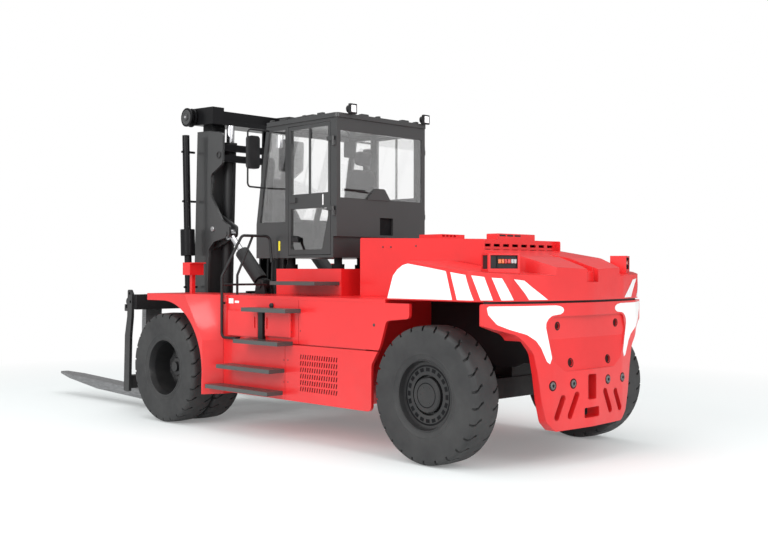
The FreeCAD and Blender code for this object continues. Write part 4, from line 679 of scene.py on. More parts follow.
@dataclass(frozen=True)
class Paint:
    """Sprayed paint: slight cloudiness, orange peel, dust that gathers low down."""

    name: str
    colour: Place
    roughness: float
    coat: float
    wear: Wear
    peel: float = 0.00025
    grain_scale: float = 160.0
    soften: float = 0.004
    mirror: float = 0.5
    dust: Place = (0.30, 0.27, 0.24)
    shade: float = 0.90
    most_dust: float = 0.30
    dust_height: Span = (0.15, 1.1)
    coat_roughness: float = 0.12

    def material(self) -> bpy.types.Material:
        """The paint as a material.

        Returns:
            The new material.
        """
        b = Board(self.name)
        deep = tuple(c * self.shade for c in self.colour)
        base = b.blend(b.ramp(b.noise(1.7, 4.0), 0.35, 0.65), deep, self.colour)
        low = b.ramp(b.height_above_ground(), *self.dust_height, 1.0, 0.0)
        patch = b.ramp(b.noise(5.0, 6.0), 0.42, 0.78)
        dust = b.times(b.times(low, patch), self.most_dust * self.wear.value)
        b.link(b.blend(dust, base, self.dust), b.shader.inputs["Base Color"])
        b.uneven_gloss(b.noise(9.0, 5.0), self.roughness * 0.9, self.roughness * 1.12)
        b.set(Coat_Weight=self.coat, Coat_Roughness=self.coat_roughness, Specular_IOR_Level=self.mirror)
        b.relief(b.noise(self.grain_scale, 2.0), self.peel, self.soften)
        return b.material


@dataclass(frozen=True)
class Rubber:
    """Black tyre rubber: a greyish mottle, uneven gloss and a fine grain."""

    name: str
    colour: Place = (0.030, 0.030, 0.031)
    bloom: Place = (0.046, 0.046, 0.046)
    roughness: float = 0.62
    mirror: float = 0.35
    grain: float = 0.0006

    def material(self) -> bpy.types.Material:
        """The rubber as a material.

        Returns:
            The new material.
        """
        b = Board(self.name)
        b.mottle(b.noise(3.1, 5.0), (0.35, 0.7), self.colour, self.bloom)
        b.uneven_gloss(b.noise(14.0, 4.0), self.roughness * 0.88, self.roughness * 1.1)
        b.set(Specular_IOR_Level=self.mirror)
        b.relief(b.noise(210.0, 3.0), self.grain)
        return b.material


@dataclass(frozen=True)
class Steel:
    """Bare or thinly painted steel: brushed streaks, rubbed patches."""

    name: str
    colour: Place
    rubbed: Place
    roughness: float
    metallic: float
    streak: Place = (1.0, 14.0, 14.0)
    soften: float = 0.004
    brushing: float = 0.00012

    def material(self) -> bpy.types.Material:
        """The steel as a material.

        Returns:
            The new material.
        """
        b = Board(self.name)
        b.mottle(b.noise(9.0, 6.0, self.streak), (0.40, 0.72), self.colour, self.rubbed)
        b.uneven_gloss(b.noise(22.0, 5.0, self.streak), self.roughness * 0.8, self.roughness * 1.2)
        b.set(Metallic=self.metallic)
        b.relief(b.noise(120.0, 3.0, self.streak), self.brushing, self.soften)
        return b.material


@dataclass(frozen=True)
class Pane:
    """Thick safety glass that mirrors much of its pale surroundings."""

    name: str
    tint: Place = (1.0, 1.0, 1.0)
    ior: float = 2.15
    smear: Span = (0.01, 0.035)

    def material(self) -> bpy.types.Material:
        """The glass as a material.

        Returns:
            The new material.
        """
        b = Board(self.name)
        smear = b.ramp(b.noise(6.0, 4.0), 0.45, 0.8, *self.smear)
        b.link(smear, b.shader.inputs["Roughness"])
        b.shader.inputs["Base Color"].default_value = (*self.tint, 1.0)
        b.set(Transmission_Weight=1.0, IOR=self.ior)
        return b.material


@dataclass(frozen=True)
class Moulding:
    """Moulded plastic or hard rubber with a fine stipple."""

    name: str
    colour: Place
    roughness: float = 0.5
    stipple: float = 0.0003
    mirror: float = 0.5

    def material(self) -> bpy.types.Material:
        """The moulding as a material.

        Returns:
            The new material.
        """
        b = Board(self.name)
        lighter = tuple(min(1.0, c * 1.25 + 0.004) for c in self.colour)
        b.mottle(b.noise(7.0, 3.0), (0.35, 0.7), self.colour, lighter)
        b.uneven_gloss(b.noise(30.0, 3.0), self.roughness * 0.85, self.roughness * 1.15)
        b.set(Specular_IOR_Level=self.mirror)
        b.relief(b.noise(420.0, 2.0), self.stipple)
        return b.material


@dataclass(frozen=True)
class Weave:
    """Woven seat cloth: crossed threads with a soft sheen."""

    name: str
    colour: Place = (0.055, 0.056, 0.060)
    thread: Place = (0.115, 0.116, 0.122)
    pitch: float = 260.0

    def material(self) -> bpy.types.Material:
        """The cloth as a material.

        Returns:
            The new material.
        """
        b = Board(self.name)
        waves = []
        for direction in ("X", "Y", "Z"):
            wave = b.node("ShaderNodeTexWave", bands_direction=direction)
            wave.inputs["Scale"].default_value = self.pitch / 2.0
            b.link(b.place, wave.inputs["Vector"])
            waves.append(wave.outputs["Fac"])
        weave = b.times(b.times(waves[0], waves[1]), waves[2])
        b.link(b.blend(weave, self.colour, self.thread), b.shader.inputs["Base Color"])
        b.set(Roughness=0.92, Sheen_Weight=0.35, Sheen_Roughness=0.5)
        b.relief(weave, 0.0008)
        return b.material


@dataclass(frozen=True)
class Lens:
    """Ribbed lamp lens; a glow is painted light that stands in for light off its reflector."""

    name: str
    colour: Place
    # painted light: emission strength that stands in for the reflector's brightness
    glow: float = 0.0
    ribs: float = 60.0

    def material(self) -> bpy.types.Material:
        """The lens as a material.

        Returns:
            The new material.
        """
        b = Board(self.name)
        wave = b.node("ShaderNodeTexWave", bands_direction="Z")
        wave.inputs["Scale"].default_value = self.ribs
        b.link(b.place, wave.inputs["Vector"])
        lighter = tuple(min(1.0, c * 1.2 + 0.03) for c in self.colour)
        b.link(b.blend(wave.outputs["Fac"], self.colour, lighter), b.shader.inputs["Base Color"])
        b.set(Roughness=0.12, Coat_Weight=0.8, Coat_Roughness=0.05, Emission_Strength=self.glow)
        b.shader.inputs["Emission Color"].default_value = (*self.colour, 1.0)
        b.relief(wave.outputs["Fac"], 0.0008)
        return b.material


RED_PAINT = Paint("body_red_paint", (0.76, 0.016, 0.018), 0.34, 0.35, Wear.LIGHT)
CAST_RED = Paint("cast_red_paint", (0.74, 0.016, 0.018), 0.38, 0.30, Wear.LIGHT, peel=0.0006, grain_scale=75.0,
                 soften=0.010)
DARK_PAINT = Paint("chassis_dark_paint", (0.014, 0.014, 0.015), 0.46, 0.10, Wear.WORKED, mirror=0.3)
STEP_PAINT = Paint("step_grey_paint", (0.060, 0.064, 0.062), 0.46, 0.25, Wear.LIGHT)
MAST_PAINT = Paint("mast_grey_paint", (0.040, 0.041, 0.042), 0.36, 0.50, Wear.LIGHT)
# Near-black, dull paint of the inner mast, ties, hose reel and conduit, darker than the outer mast's paint: partly
# their own dark paint, partly painted shade for the shade in and behind the mast's channels.
MAST_BLACK_AND_SHADE = Paint("mast_black_and_painted_shade", (0.008, 0.008, 0.009), 0.34, 0.05, Wear.LIGHT, mirror=0.15)
CARRIAGE_PAINT = Paint("carriage_dark_paint", (0.020, 0.020, 0.021), 0.40, 0.25, Wear.LIGHT, mirror=0.35)
CAB_PAINT = Paint("cab_grey_paint", (0.036, 0.037, 0.038), 0.40, 0.30, Wear.CLEAN)
RIM_PAINT = Paint("rim_dark_paint", (0.018, 0.018, 0.019), 0.38, 0.25, Wear.LIGHT, mirror=0.3)
WHITE_FILM = Paint("white_film", (0.90, 0.90, 0.90), 0.30, 0.2, Wear.CLEAN, peel=0.00005, soften=0.0)
FORK_STEEL = Steel("fork_steel", (0.17, 0.17, 0.175), (0.28, 0.28, 0.285), 0.46, 0.35)
WASHER_STEEL = Steel("washer_steel", (0.13, 0.13, 0.132), (0.20, 0.20, 0.20), 0.40, 0.6, soften=0.0)
YELLOW_PLASTIC = Moulding("yellow_plastic", (0.70, 0.60, 0.03), 0.45)
BRIGHT_STEEL = Steel("bolt_steel", (0.42, 0.42, 0.43), (0.60, 0.60, 0.61), 0.32, 0.9, soften=0.0)
DARK_STEEL = Steel("dark_bolt_steel", (0.05, 0.05, 0.052), (0.10, 0.10, 0.10), 0.45, 0.5, soften=0.0)
CHROME = Steel("chromed_rod", (0.62, 0.62, 0.64), (0.70, 0.70, 0.72), 0.10, 1.0, (14.0, 14.0, 1.0), 0.0)
GLASS = Pane("tinted_glass")
TYRE_RUBBER = Rubber("tyre_rubber")
# Real rubber on the cab's mounts; the same near-black finish also lies as painted shade over the steer rims' hand
# slots and rings, in the louvre slots and at the cab's air pocket.
RUBBER_AND_SHADE = Moulding("seal_rubber_and_painted_shade", (0.006, 0.006, 0.007), 0.65, mirror=0.12)
# painted shade: dark rims round the lower casting's round pockets, and dark floors inside the open ones
POCKET_SHADE = Moulding("pocket_painted_shade", (0.030, 0.004, 0.004), 0.55, mirror=0.2)
# Black plastic on real parts; the same finish also lies as painted shade on the bonnet intake's slots and at the
# floor of each counterweight bolt's socket.
BLACK_PLASTIC_AND_SHADE = Moulding("black_plastic_and_painted_shade", (0.012, 0.012, 0.013), 0.45, mirror=0.3)
GREY_PLASTIC = Moulding("dash_plastic", (0.050, 0.051, 0.054), 0.55, 0.0005)
SEAT_CLOTH = Weave("seat_cloth")
# painted light: the clear lens glows a little, standing in for light off the work lamp's reflector
LAMP_WHITE = Lens("lamp_clear_lens", (0.88, 0.90, 0.92), 0.35)
LAMP_GREY = Lens("lamp_grey_lens", (0.42, 0.42, 0.43))
LAMP_RED = Lens("lamp_red_lens", (0.50, 0.010, 0.010))
LAMP_AMBER = Lens("lamp_amber_lens", (0.62, 0.12, 0.01))


@dataclass
class Stock:
    """Every material, made once and handed out by its finish."""

    made: dict[str, bpy.types.Material] = field(default_factory=dict)

    def of(self, finish: Finish) -> bpy.types.Material:
        """The material of a finish, made at its first use.

        Args:
            finish: the finish that is asked for.

        Returns:
            Its one material.
        """
        if finish.name not in self.made:
            self.made[finish.name] = finish.material()
        return self.made[finish.name]

    def dress(self, finish: Finish, *nodes: str) -> None:
        """Give construction nodes a finish in place of their plain one.

        Args:
            finish: the finish that they take.
            nodes: the nodes' names.
        """
        material = self.of(finish)
        for name in nodes:
            node = NODES[name]
            if not node.data.materials:
                node.data.materials.append(material)
            for place in node.material_slots:
                place.material = material
            LOG.info("%s dressed in %s", name, finish.name)


STOCK = Stock()


def block_piece(name: str, finish: Finish, body: str, slot: str, *blocks: Block) -> bpy.types.Object:
    """One piece that is made of chamfered blocks alone.

    Args:
        name: the piece's name.
        finish: what it is dressed in.
        body: the body that carries it.
        slot: the record's material slot, handed on to the piece's build.
        blocks: its blocks.

    Returns:
        The finished object.
    """
    skin = Skin()
    for block in blocks:
        block.add_to(skin)
    return skin.build(name, STOCK.of(finish), body, slot)


# ---------------------------------------------------------------------------
# Wheels
# ---------------------------------------------------------------------------
@dataclass
class Tyre:
    """One industrial tyre with curved shoulder grooves and a smooth sidewall."""

    centre: Place
    radius: float
    bead: float
    width: float
    pitches: int = 26
    shoulder: float = 0.034
    groove_depth: float = 0.034
    groove_reach: float = 0.40
    sweep: float = 0.075

    def profile(self) -> Array:
        """Half section from the tread's middle round to the bead.

        Returns:
            Lines of (across from the middle, radius, groove depth share, sweep share).
        """
        half = self.width / 2
        reach = self.groove_reach * half
        start = half - self.shoulder - reach
        tread = np.array([
            (0.0, 0.0, 0.0, 0.0), (start * 0.6, -0.0015, 0.0, 0.0), (start - 0.004, -0.003, 0.0, 0.0),
            (start + 0.004, -0.003, 0.85, 0.05), (start + reach * 0.25, -0.0035, 1.0, 0.10),
            (start + reach * 0.5, -0.0042, 1.0, 0.30), (start + reach * 0.75, -0.005, 1.0, 0.62),
            (start + reach, -0.006, 1.0, 1.0), (half - 0.022, -0.012, 1.0, 1.1), (half - 0.010, -0.020, 0.95, 1.16),
            (half - 0.003, -0.030, 0.75, 1.2), (half - 0.0005, -0.055, 0.0, 1.2),
        ])
        tread[:, 1] += self.radius
        wall = np.array([
            (half, -0.075), (half, -0.120), (half + 0.0005, -0.170), (half, -0.215), (half - 0.001, -0.250),
            (half - 0.003, -0.268), (half - 0.001, -0.274), (half - 0.006, -0.282), (half - 0.012, -0.296),
        ])
        wall[:, 1] += self.radius
        bead = np.array([(half - 0.016, self.bead + 0.012), (half - 0.018, self.bead + 0.0005),
                         (half - 0.050, self.bead + 0.0005)])
        rest = np.concatenate([wall, bead])
        tail = np.stack([rest[:, 0], rest[:, 1], np.zeros(len(rest)), np.full(len(rest), 1.2)], axis=1)
        return np.concatenate([tread, tail])

    def stations(self) -> tuple[Array, Array, Array]:
        """Places round the tyre, set close at each groove's walls.

        Returns:
            Angles of one whole turn, and the groove masks of the left and right side.
        """
        share = np.array([0.0, 0.012, 0.15, 0.162, 0.33, 0.5, 0.512, 0.65, 0.662, 0.83])
        left = np.array([0, 1, 1, 0, 0, 0, 0, 0, 0, 0], float)
        right = np.array([0, 0, 0, 0, 0, 0, 1, 1, 0, 0], float)
        turn = (np.arange(self.pitches)[:, None] + share[None]) * 2 * math.pi / self.pitches
        return turn.reshape(-1), np.tile(left, self.pitches), np.tile(right, self.pitches)

    def surface(self) -> Array:
        """The whole skin of the tyre.

        At section place v and angle t the radius is that of the section less the
        groove's depth where both masks say groove, and the angle is moved on by the
        section's sweep, so that each groove bends on its way to the shoulder.

        Returns:
            A grid, section by angle, to be wrapped along its columns.
        """
        half = self.profile()
        angle, left, right = self.stations()
        rows = []
        for side, mask in ((1, left), (-1, right)):
            across = half[:, 0, None] * side
            radius = half[:, 1, None] - self.groove_depth * half[:, 2, None] * mask[None]
            turn = angle[None] + self.sweep * half[:, 3, None] * side
            grid = np.stack([radius * np.cos(turn), np.broadcast_to(across, radius.shape), radius * np.sin(turn)], -1)
            rows.append(grid)
        whole = np.concatenate([rows[0][::-1], rows[1][1:]])
        return whole + np.asarray(self.centre)


@dataclass
class Wheels:
    """All six tyres, the screws of their rims, and painted shadow rings and slot shades on the steer rims."""

    steer_nodes: tuple[str, ...] = ("tyre_rear_left", "tyre_rear_right")
    drive_nodes: tuple[str, ...] = ("tyres_front_left", "tyres_front_right")
    tyre_width: float = 0.352
    bead: float = 0.3533
    crease_deg: float = 32.0
    far_out: float = 2.0
    # painted shadow rings on the steer rims, as inner and outer radius
    dark_rings: tuple[Span, ...] = ((0.114, 0.124), (0.278, 0.296))
    ring_steps: int = 72
    slot_count: int = 20
    slot_radius: float = 0.250
    slot_half: Span = (0.024, 0.018)
    slot_proud: float = 0.0016
    cap_screws: ScrewCircle = ScrewCircle(0.016, 0.008, 0.142, 8, 0.2)
    cap_face: float = 1.345
    hub_screws: ScrewCircle = ScrewCircle(0.009, 0.004, 0.085, 6, 0.5)
    wheel_nuts: ScrewCircle = ScrewCircle(0.034, 0.020, 0.215, 20)
    nut_face: float = 1.3125
    drive_screws: ScrewCircle = ScrewCircle(0.018, 0.010, 0.150, 12)
    drive_face: float = 1.4045

    def axle_of(self, node: str) -> Array:
        """Middle of a wheel's box along and up, on the truck's centre plane."""
        low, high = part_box(node)
        return np.array([(low.x + high.x) / 2, 0.0, (low.z + high.z) / 2])

    def tyre_piece(self, node: str, body: str, middles: Sequence[float]) -> None:
        """Replace one tyre node by its treaded tyres.

        Args:
            node: the construction node that they stand for.
            body: the body that they ride on.
            middles: where each tyre's middle lies across the truck.
        """
        low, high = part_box(node)
        x, _, z = self.axle_of(node)
        skin = Skin()
        for y in middles:
            tyre = Tyre((x, y, z), (high.z - low.z) / 2, self.bead, self.tyre_width)
            skin.add_grid(tyre.surface()[::-1], wrap_columns=True)
        piece = skin.build(node + "_tread", STOCK.of(TYRE_RUBBER), body, "tyre", self.crease_deg)
        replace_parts(piece, node)

    def laid_ring(self, skin: Skin, node: str, side: int, span: Span, proud: float = 0.0008) -> None:
        """Thin dark ring of painted shadow laid on a rim: its circles fall on the node along the axle.

        Args:
            skin: the piece that takes it in.
            node: the rim's node.
            side: 1 on the left, -1 on the right.
            span: the ring's inner and outer radius.
            proud: how far it stands off.
        """
        centre = self.axle_of(node)
        t = np.linspace(0.0, 2 * math.pi, self.ring_steps, endpoint=False)[None, :]
        r = np.linspace(*span, 3)[:, None]
        x = centre[0] + r * np.cos(t)
        grid = np.stack([x, np.full_like(x, self.far_out * side), centre[2] + r * np.sin(t)], axis=-1)
        grid = fallen(grid, (0, -side, 0), node, proud)
        skin.add_grid(grid if side > 0 else grid[::-1], wrap_columns=True)

    def hand_slot_shades(self, node: str, side: int) -> Skin:
        """Painted shade over the hand slots of a steer rim: a dark patch on each.

        A corner lies at centre + (radius + b)*away + a*along, for a and b each half a
        size to either side, where away and along are the circle's own directions.

        Args:
            node: the rim's node.
            side: 1 on the left, -1 on the right.

        Returns:
            The patches, laid on the rim.
        """
        turn = np.linspace(0.0, 2 * math.pi, self.slot_count, endpoint=False)[:, None]
        flat = np.zeros_like(turn)
        along = np.stack([-np.sin(turn), flat, np.cos(turn)], axis=-1)
        away = np.stack([np.cos(turn), flat, np.sin(turn)], axis=-1)
        half, deep = self.slot_half
        a = np.array([-half, half, half, -half])[None, :, None]
        b = np.array([-deep, -deep, deep, deep])[None, :, None]
        centre = self.axle_of(node) + (0.0, self.far_out * side, 0.0)
        corners = centre + away * (self.slot_radius + b) + along * a
        skin = Skin()
        skin.add(fallen(corners, (0, -side, 0), node, self.slot_proud),
                 np.arange(4 * self.slot_count).reshape(-1, 4)[:, ::side].tolist())
        return skin

    def steer_rim(self, side: int, body: str, node: str) -> None:
        """Cap screws, painted shade over the hand slots and painted shadow rings on one steer wheel.

        Args:
            side: 1 on the left, -1 on the right.
            body: the body that the wheel is.
            node: its rim's node.
        """
        word = body.split("_")[-1]
        out = (0, side, 0)
        centre = self.axle_of(node)
        skin = Skin()
        centre[1] = self.cap_face * side
        self.cap_screws.add_to(skin, centre, out)
        above = np.array([[centre[0] + self.hub_screws.radius, self.far_out * side, centre[2]]])
        centre[1] = fallen(above, (0, -side, 0), node, 0.0)[0, 1]
        self.hub_screws.add_to(skin, centre, out)
        skin.build("cap_screws_" + word, STOCK.of(DARK_STEEL), body, "rim_dark")
        # painted shade over the hand slots, then painted shadow rings
        self.hand_slot_shades(node, side).build("rim_hand_slot_shades_" + word, STOCK.of(RUBBER_AND_SHADE), body, "rim_dark")
        rings = Skin()
        for span in self.dark_rings:
            self.laid_ring(rings, node, side, span)
        rings.build("rim_shadow_rings_" + word, STOCK.of(RUBBER_AND_SHADE), body, "rim_dark")

    def drive_rims(self, side: int, body: str, node: str) -> None:
        """Wheel nuts and hub cap screws of one pair of drive wheels.

        Args:
            side: 1 on the left, -1 on the right.
            body: the body that the wheels are.
            node: their rims' node.
        """
        centre = self.axle_of(node)
        skin = Skin()
        for face, screws in ((self.nut_face, self.wheel_nuts), (self.drive_face, self.drive_screws)):
            centre[1] = face * side
            screws.add_to(skin, centre, (0, side, 0))
        skin.build("wheel_nuts_" + body.split("_")[-1], STOCK.of(DARK_STEEL), body, "rim_dark")

    def build(self) -> None:
        """Dress all the wheels."""
        for node in self.steer_nodes:
            low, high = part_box(node)
            self.tyre_piece(node, "rear_wheel_" + node.split("_")[-1], [(low.y + high.y) / 2])
        half = self.tyre_width / 2
        for node in self.drive_nodes:
            low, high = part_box(node)
            self.tyre_piece(node, "front_wheels_" + node.split("_")[-1], [low.y + half, high.y - half])
        for word, side in (("left", 1), ("right", -1)):
            self.steer_rim(side, "rear_wheel_" + word, "rim_rear_" + word)
            self.drive_rims(side, "front_wheels_" + word, "rims_front_" + word)
        STOCK.dress(RIM_PAINT, "rim_rear_left", "rim_rear_right", "rims_front_left", "rims_front_right")


# ---------------------------------------------------------------------------
# Counterweight
# ---------------------------------------------------------------------------
@dataclass(frozen=True)
class Film:
    """White film between two edges, each a line of points from its foot to its top."""

    node: str
    way: Place
    first: tuple[Place, ...]
    second: tuple[Place, ...]
    rows: int = 22
    columns: int = 22
    stand_off: float = 0.5
    proud: float = 0.0014

    def edge(self, points: Sequence[Sequence[float]]) -> Array:
        """One edge as evenly spaced heights, straight between its given points.

        Args:
            points: the edge's points, from its foot to its top.

        Returns:
            One point for each row.
        """
        p = np.asarray(points, float)
        z = np.linspace(p[0, 2], p[-1, 2], self.rows)
        return np.stack([np.interp(z, p[:, 2], p[:, 0]), np.interp(z, p[:, 2], p[:, 1]), z], axis=-1)

    def add_to(self, skin: Skin, side: int) -> None:
        """Lay the film on its casting.

        The grid runs straight from one edge to the other, is moved back by the
        stand-off and then falls on the casting.

        Args:
            skin: the piece that takes it in.
            side: 1 for the left half of the truck, -1 for the right.
        """
        u = np.linspace(0.0, 1.0, self.columns)[None, :, None]
        flip = np.array([1.0, side, 1.0])
        grid = self.edge(self.first)[:, None] * (1 - u) + self.edge(self.second)[:, None] * u
        way = unit(self.way) * flip
        grid = fallen(grid * flip - way * self.stand_off, way, self.node, self.proud)
        skin.add_grid(grid if side > 0 else grid[::-1])


@dataclass
class Counterweight:
    """Upper and lower castings with their white films, tail lamps and bolts."""

    upper: str = "counterweight_upper"
    lower: str = "counterweight_lower"
    foot: float = 1.613
    lamp_corner: Span = (-0.645, 1.209)
    lamp_turn_deg: float = 26.0
    lens_height: Span = (1.958, 2.000)
    lens_depth: Span = (0.004, 0.0205)
    lens_edge: float = 0.004
    lens_spans: tuple[tuple[Lens, Span, Span], ...] = (
        (LAMP_AMBER, (0.104, 0.134), (0.140, 0.166)), (LAMP_RED, (0.172, 0.198), (0.204, 0.234)),
        (LAMP_GREY, (0.240, 0.264), (0.270, 0.294)))
    pocket_low: float = 1.911
    pocket_high: float = 2.035
    back_lining: tuple[Span, Span] = ((0.0225, 0.3035), (0.0195, 0.0238))
    end_lining: tuple[Span, Span] = ((0.0085, 0.0138), (0.027, 0.143))
    ribs: tuple[float, ...] = (0.0232, 0.0945, 0.2995)
    rib_width: float = 0.004
    rib_depth: Span = (0.006, 0.0200)
    packing: Span = (1.5785, 1.6035)
    packing_plan: tuple[Span, ...] = ((-0.66, 1.30), (-0.72, 1.19), (-0.86, 0.90), (-0.91, 0.58), (-0.945, 0.0))
    film_crease_deg: float = 60.0
    far_behind: float = -5.0
    bolts: tuple[Span, ...] = ((0.603, 0.788), (0.300, 0.790))
    bolt_radius: float = 0.0365
    bolt_socket: float = 0.0165
    bolt_sink: float = 0.010
    bolt_depth: float = 0.05
    face_beside_bolt: float = 0.046
    # painted shade rings round the bolts' pockets and the open pockets: (y, z, inner radius, outer radius)
    bolt_pocket_shades: tuple[tuple[float, float, float, float], ...] = (
        (0.603, 0.788, 0.0385, 0.050), (0.300, 0.790, 0.0385, 0.050))
    open_pocket_shades: tuple[tuple[float, float, float, float], ...] = (
        (0.502, 1.357, 0.0305, 0.043), (0.322, 0.995, 0.0345, 0.046))
    pocket_floor: float = 0.014

    def flank_films(self) -> list[Film]:
        """The bare panel and the four slanted stripes on the left flank.

        Returns:
            The films, from the cab to the tail.
        """
        z, inward, corner, tail = self.foot, (0, -1, 0), (0.7, -0.7, 0), (1.0, -0.45, 0)
        panel = Film(self.upper, inward, ((-3.036, 1.4, z), (-3.116, 1.4, 1.84), (-3.180, 1.4, 1.903),
                                          (-3.250, 1.4, 1.944), (-3.318, 1.4, 1.958)),
                     ((-3.904, 1.4, z), (-3.824, 1.4, 1.886), (-3.60, 1.4, 1.920), (-3.325, 1.4, 1.958)), rows=40)
        return [
            panel,
            Film(self.upper, inward, ((-3.964, 1.385, z), (-3.880, 1.385, 1.876)),
                 ((-4.149, 1.358, z), (-4.070, 1.385, 1.850))),
            Film(self.upper, corner, ((-4.193, 1.311, z), (-4.129, 1.372, 1.846)),
                 ((-4.269, 1.225, z), (-4.214, 1.287, 1.832))),
            Film(self.upper, tail, ((-4.321, 1.167, z), (-4.260, 1.235, 1.824)),
                 ((-4.379, 1.055, z), (-4.325, 1.163, 1.818))),
            Film(self.upper, tail, ((-4.424, 0.882, z), (-4.414, 0.925, 1.67), (-4.398, 1.000, 1.75),
                                    (-4.380, 1.056, 1.810)),
                 ((-4.481, 0.663, z), (-4.462, 0.750, 1.67), (-4.436, 0.850, 1.735), (-4.411, 0.935, 1.796))),
        ]

    def wing_film(self) -> Film:
        """White wing on the lower casting: a broad top band that tapers into a leg.

        Returns:
            The film of the left side.
        """
        x = -4.6
        outer = ((x, 0.643, 1.000), (x, 0.679, 1.021), (x, 0.718, 1.09), (x, 0.756, 1.158), (x, 0.819, 1.227),
                 (x, 0.930, 1.287), (x, 1.092, 1.337), (x, 1.210, 1.386), (x, 1.294, 1.480), (x, 1.306, 1.545),
                 (x, 1.285, 1.558))
        inner = ((x, 0.640, 1.000), (x, 0.615, 1.056), (x, 0.654, 1.201), (x, 0.693, 1.345), (x, 0.690, 1.39),
                 (x, 0.662, 1.430), (x, 0.610, 1.462), (x, 0.500, 1.468), (x, 0.455, 1.488), (x, 0.442, 1.511),
                 (x, 0.458, 1.536), (x, 0.505, 1.552), (x, 0.56, 1.558))
        return Film(self.lower, (1, 0, 0), outer, inner, rows=72, columns=34)

    def films(self) -> None:
        """All white films of both castings, on both flanks."""
        skin = Skin()
        for side in (1, -1):
            for film in self.flank_films() + [self.wing_film()]:
                film.add_to(skin, side)
        skin.build("counterweight_white_films", STOCK.of(WHITE_FILM), "chassis", "cast_red", self.film_crease_deg)

    def lamp_box(self, skin: Skin, side: int, along: Span, depth: Span, height: Span, edge: float) -> None:
        """Block in the tail lamp's own directions: along its face, into it, and up.

        Args:
            skin: the piece that takes it in.
            side: 1 for the left lamp, -1 for the right.
            along: from and to along the lens face, from its outer edge.
            depth: from and to into the housing.
            height: from and to above the ground.
            edge: width of its chamfer.
        """
        turn = math.radians(self.lamp_turn_deg)
        sine, cosine = math.sin(turn), math.cos(turn)
        axes = ((-sine, -cosine * side, 0), (cosine, -sine * side, 0), (0, 0, 1))
        origin = (self.lamp_corner[0] + STEER_AXLE_X, self.lamp_corner[1] * side, 0.0)
        points, faces = slab((along[0], depth[0], height[0]), (along[1], depth[1], height[1]), edge)
        skin.add(placed(points, origin, axes), faces if side < 0 else [f[::-1] for f in faces])

    def tail_lamps(self) -> None:
        """Dark linings and three pairs of coloured lenses in each housing."""
        lining = Skin()
        low, high = self.pocket_low, self.pocket_high
        for side in (1, -1):
            self.lamp_box(lining, side, *self.back_lining, (low, high), 0.001)
            self.lamp_box(lining, side, *self.end_lining, (low - 0.003, high), 0.001)
            for rib in self.ribs:
                self.lamp_box(lining, side, (rib, rib + self.rib_width), self.rib_depth,
                              (low + self.rib_width, high - self.rib_width), 0.0008)
        lining.build("tail_lamp_linings", STOCK.of(BLACK_PLASTIC_AND_SHADE), "chassis", "plastic_dark")
        for finish, *spans in self.lens_spans:
            skin = Skin()
            for side in (1, -1):
                for span in spans:
                    self.lamp_box(skin, side, span, self.lens_depth, self.lens_height, self.lens_edge)
            skin.build("tail_" + finish.name, STOCK.of(finish), "chassis", "plastic_dark")

    def socket_bolts(self) -> tuple[Skin, Skin]:
        """Socket-head bolts in the four lower pockets, seated a little below the face.

        Returns:
            The heads' rings, and dark plugs of painted shade deep in their sockets.
        """
        rings, socket_shades = Skin(), Skin()
        r, s, deep, beside = self.bolt_radius, self.bolt_socket, self.bolt_depth, self.face_beside_bolt
        ring = ((s, -0.010), (s, 0.0), (r - 0.004, 0.0), (r, -0.004), (r, -deep), (s, -deep), (s, -0.010))
        # painted shade: a dark plug that floors each socket
        core = ((0.0005, -0.014), (s - 0.001, -0.014), (s - 0.0005, -0.040), (0.0005, -0.040))
        for y, z in self.bolts:
            for side in (1, -1):
                across = np.array([[self.far_behind, (y + off) * side, z] for off in (beside, -beside)])
                x = float(fallen(across, (1, 0, 0), self.lower, 0.0)[:, 0].mean()) - self.bolt_sink
                at = (x, y * side, z)
                rings.add_grid(revolved(ring, at, (-1, 0, 0), 28), wrap_columns=True)
                socket_shades.add_grid(revolved(core, at, (-1, 0, 0), 6), wrap_columns=True)
        return rings, socket_shades

    def pocket_shades(self) -> None:
        """Painted shade in the round pockets: a dark rim round each, and a dark floor in those without a bolt.

        A rim is a flat ring that falls on the casting from behind; a floor is the disc
        inside the ring's inner circle, moved in by the pocket's depth.
        """
        shades = Skin()
        turn = np.linspace(0.0, 2 * math.pi, 32, endpoint=False)[None, :]
        for y, z, inner, outer in self.bolt_pocket_shades + self.open_pocket_shades:
            for side in (1, -1):
                r = np.linspace(inner, outer, 3)[:, None]
                behind = np.full_like(r * turn, self.far_behind)
                place = np.stack([behind, y * side + r * np.cos(turn), z + r * np.sin(turn)], axis=-1)
                ring = fallen(place[::-1], (1, 0, 0), self.lower, 0.0010)
                shades.add_grid(ring, wrap_columns=True)
                if (y, z, inner, outer) in self.open_pocket_shades:
                    # painted shade: a dark disc that floors the open pocket
                    floor = ring[-1][::-1] + (self.pocket_floor, 0.0, 0.0)
                    shades.add(floor, [list(range(len(floor)))])
        shades.build("casting_pocket_shades", STOCK.of(POCKET_SHADE), "chassis", "frame_dark")

    def joint_plate(self) -> None:
        """Dark packing between the two castings, drawn in from their faces.

        Its plan is a closed line of corners, mirrored about the centre; the wall runs
        between the line at the lower and at the upper height.
        """
        half = np.array(self.packing_plan)
        line = np.concatenate([half, half[-2::-1] * (1, -1)])
        x = line[:, 0] + STEER_AXLE_X
        low, high = self.packing
        grid = np.stack([np.stack([x, line[:, 1], np.full(len(x), z)], -1) for z in (low, high)])
        skin = Skin()
        skin.add_grid(grid, wrap_columns=True)
        count = len(line)
        skin.add(grid[1], [list(range(count))])
        skin.add(grid[0], [list(range(count))[::-1]])
        skin.build("casting_packing", STOCK.of(BLACK_PLASTIC_AND_SHADE), "chassis", "frame_dark")

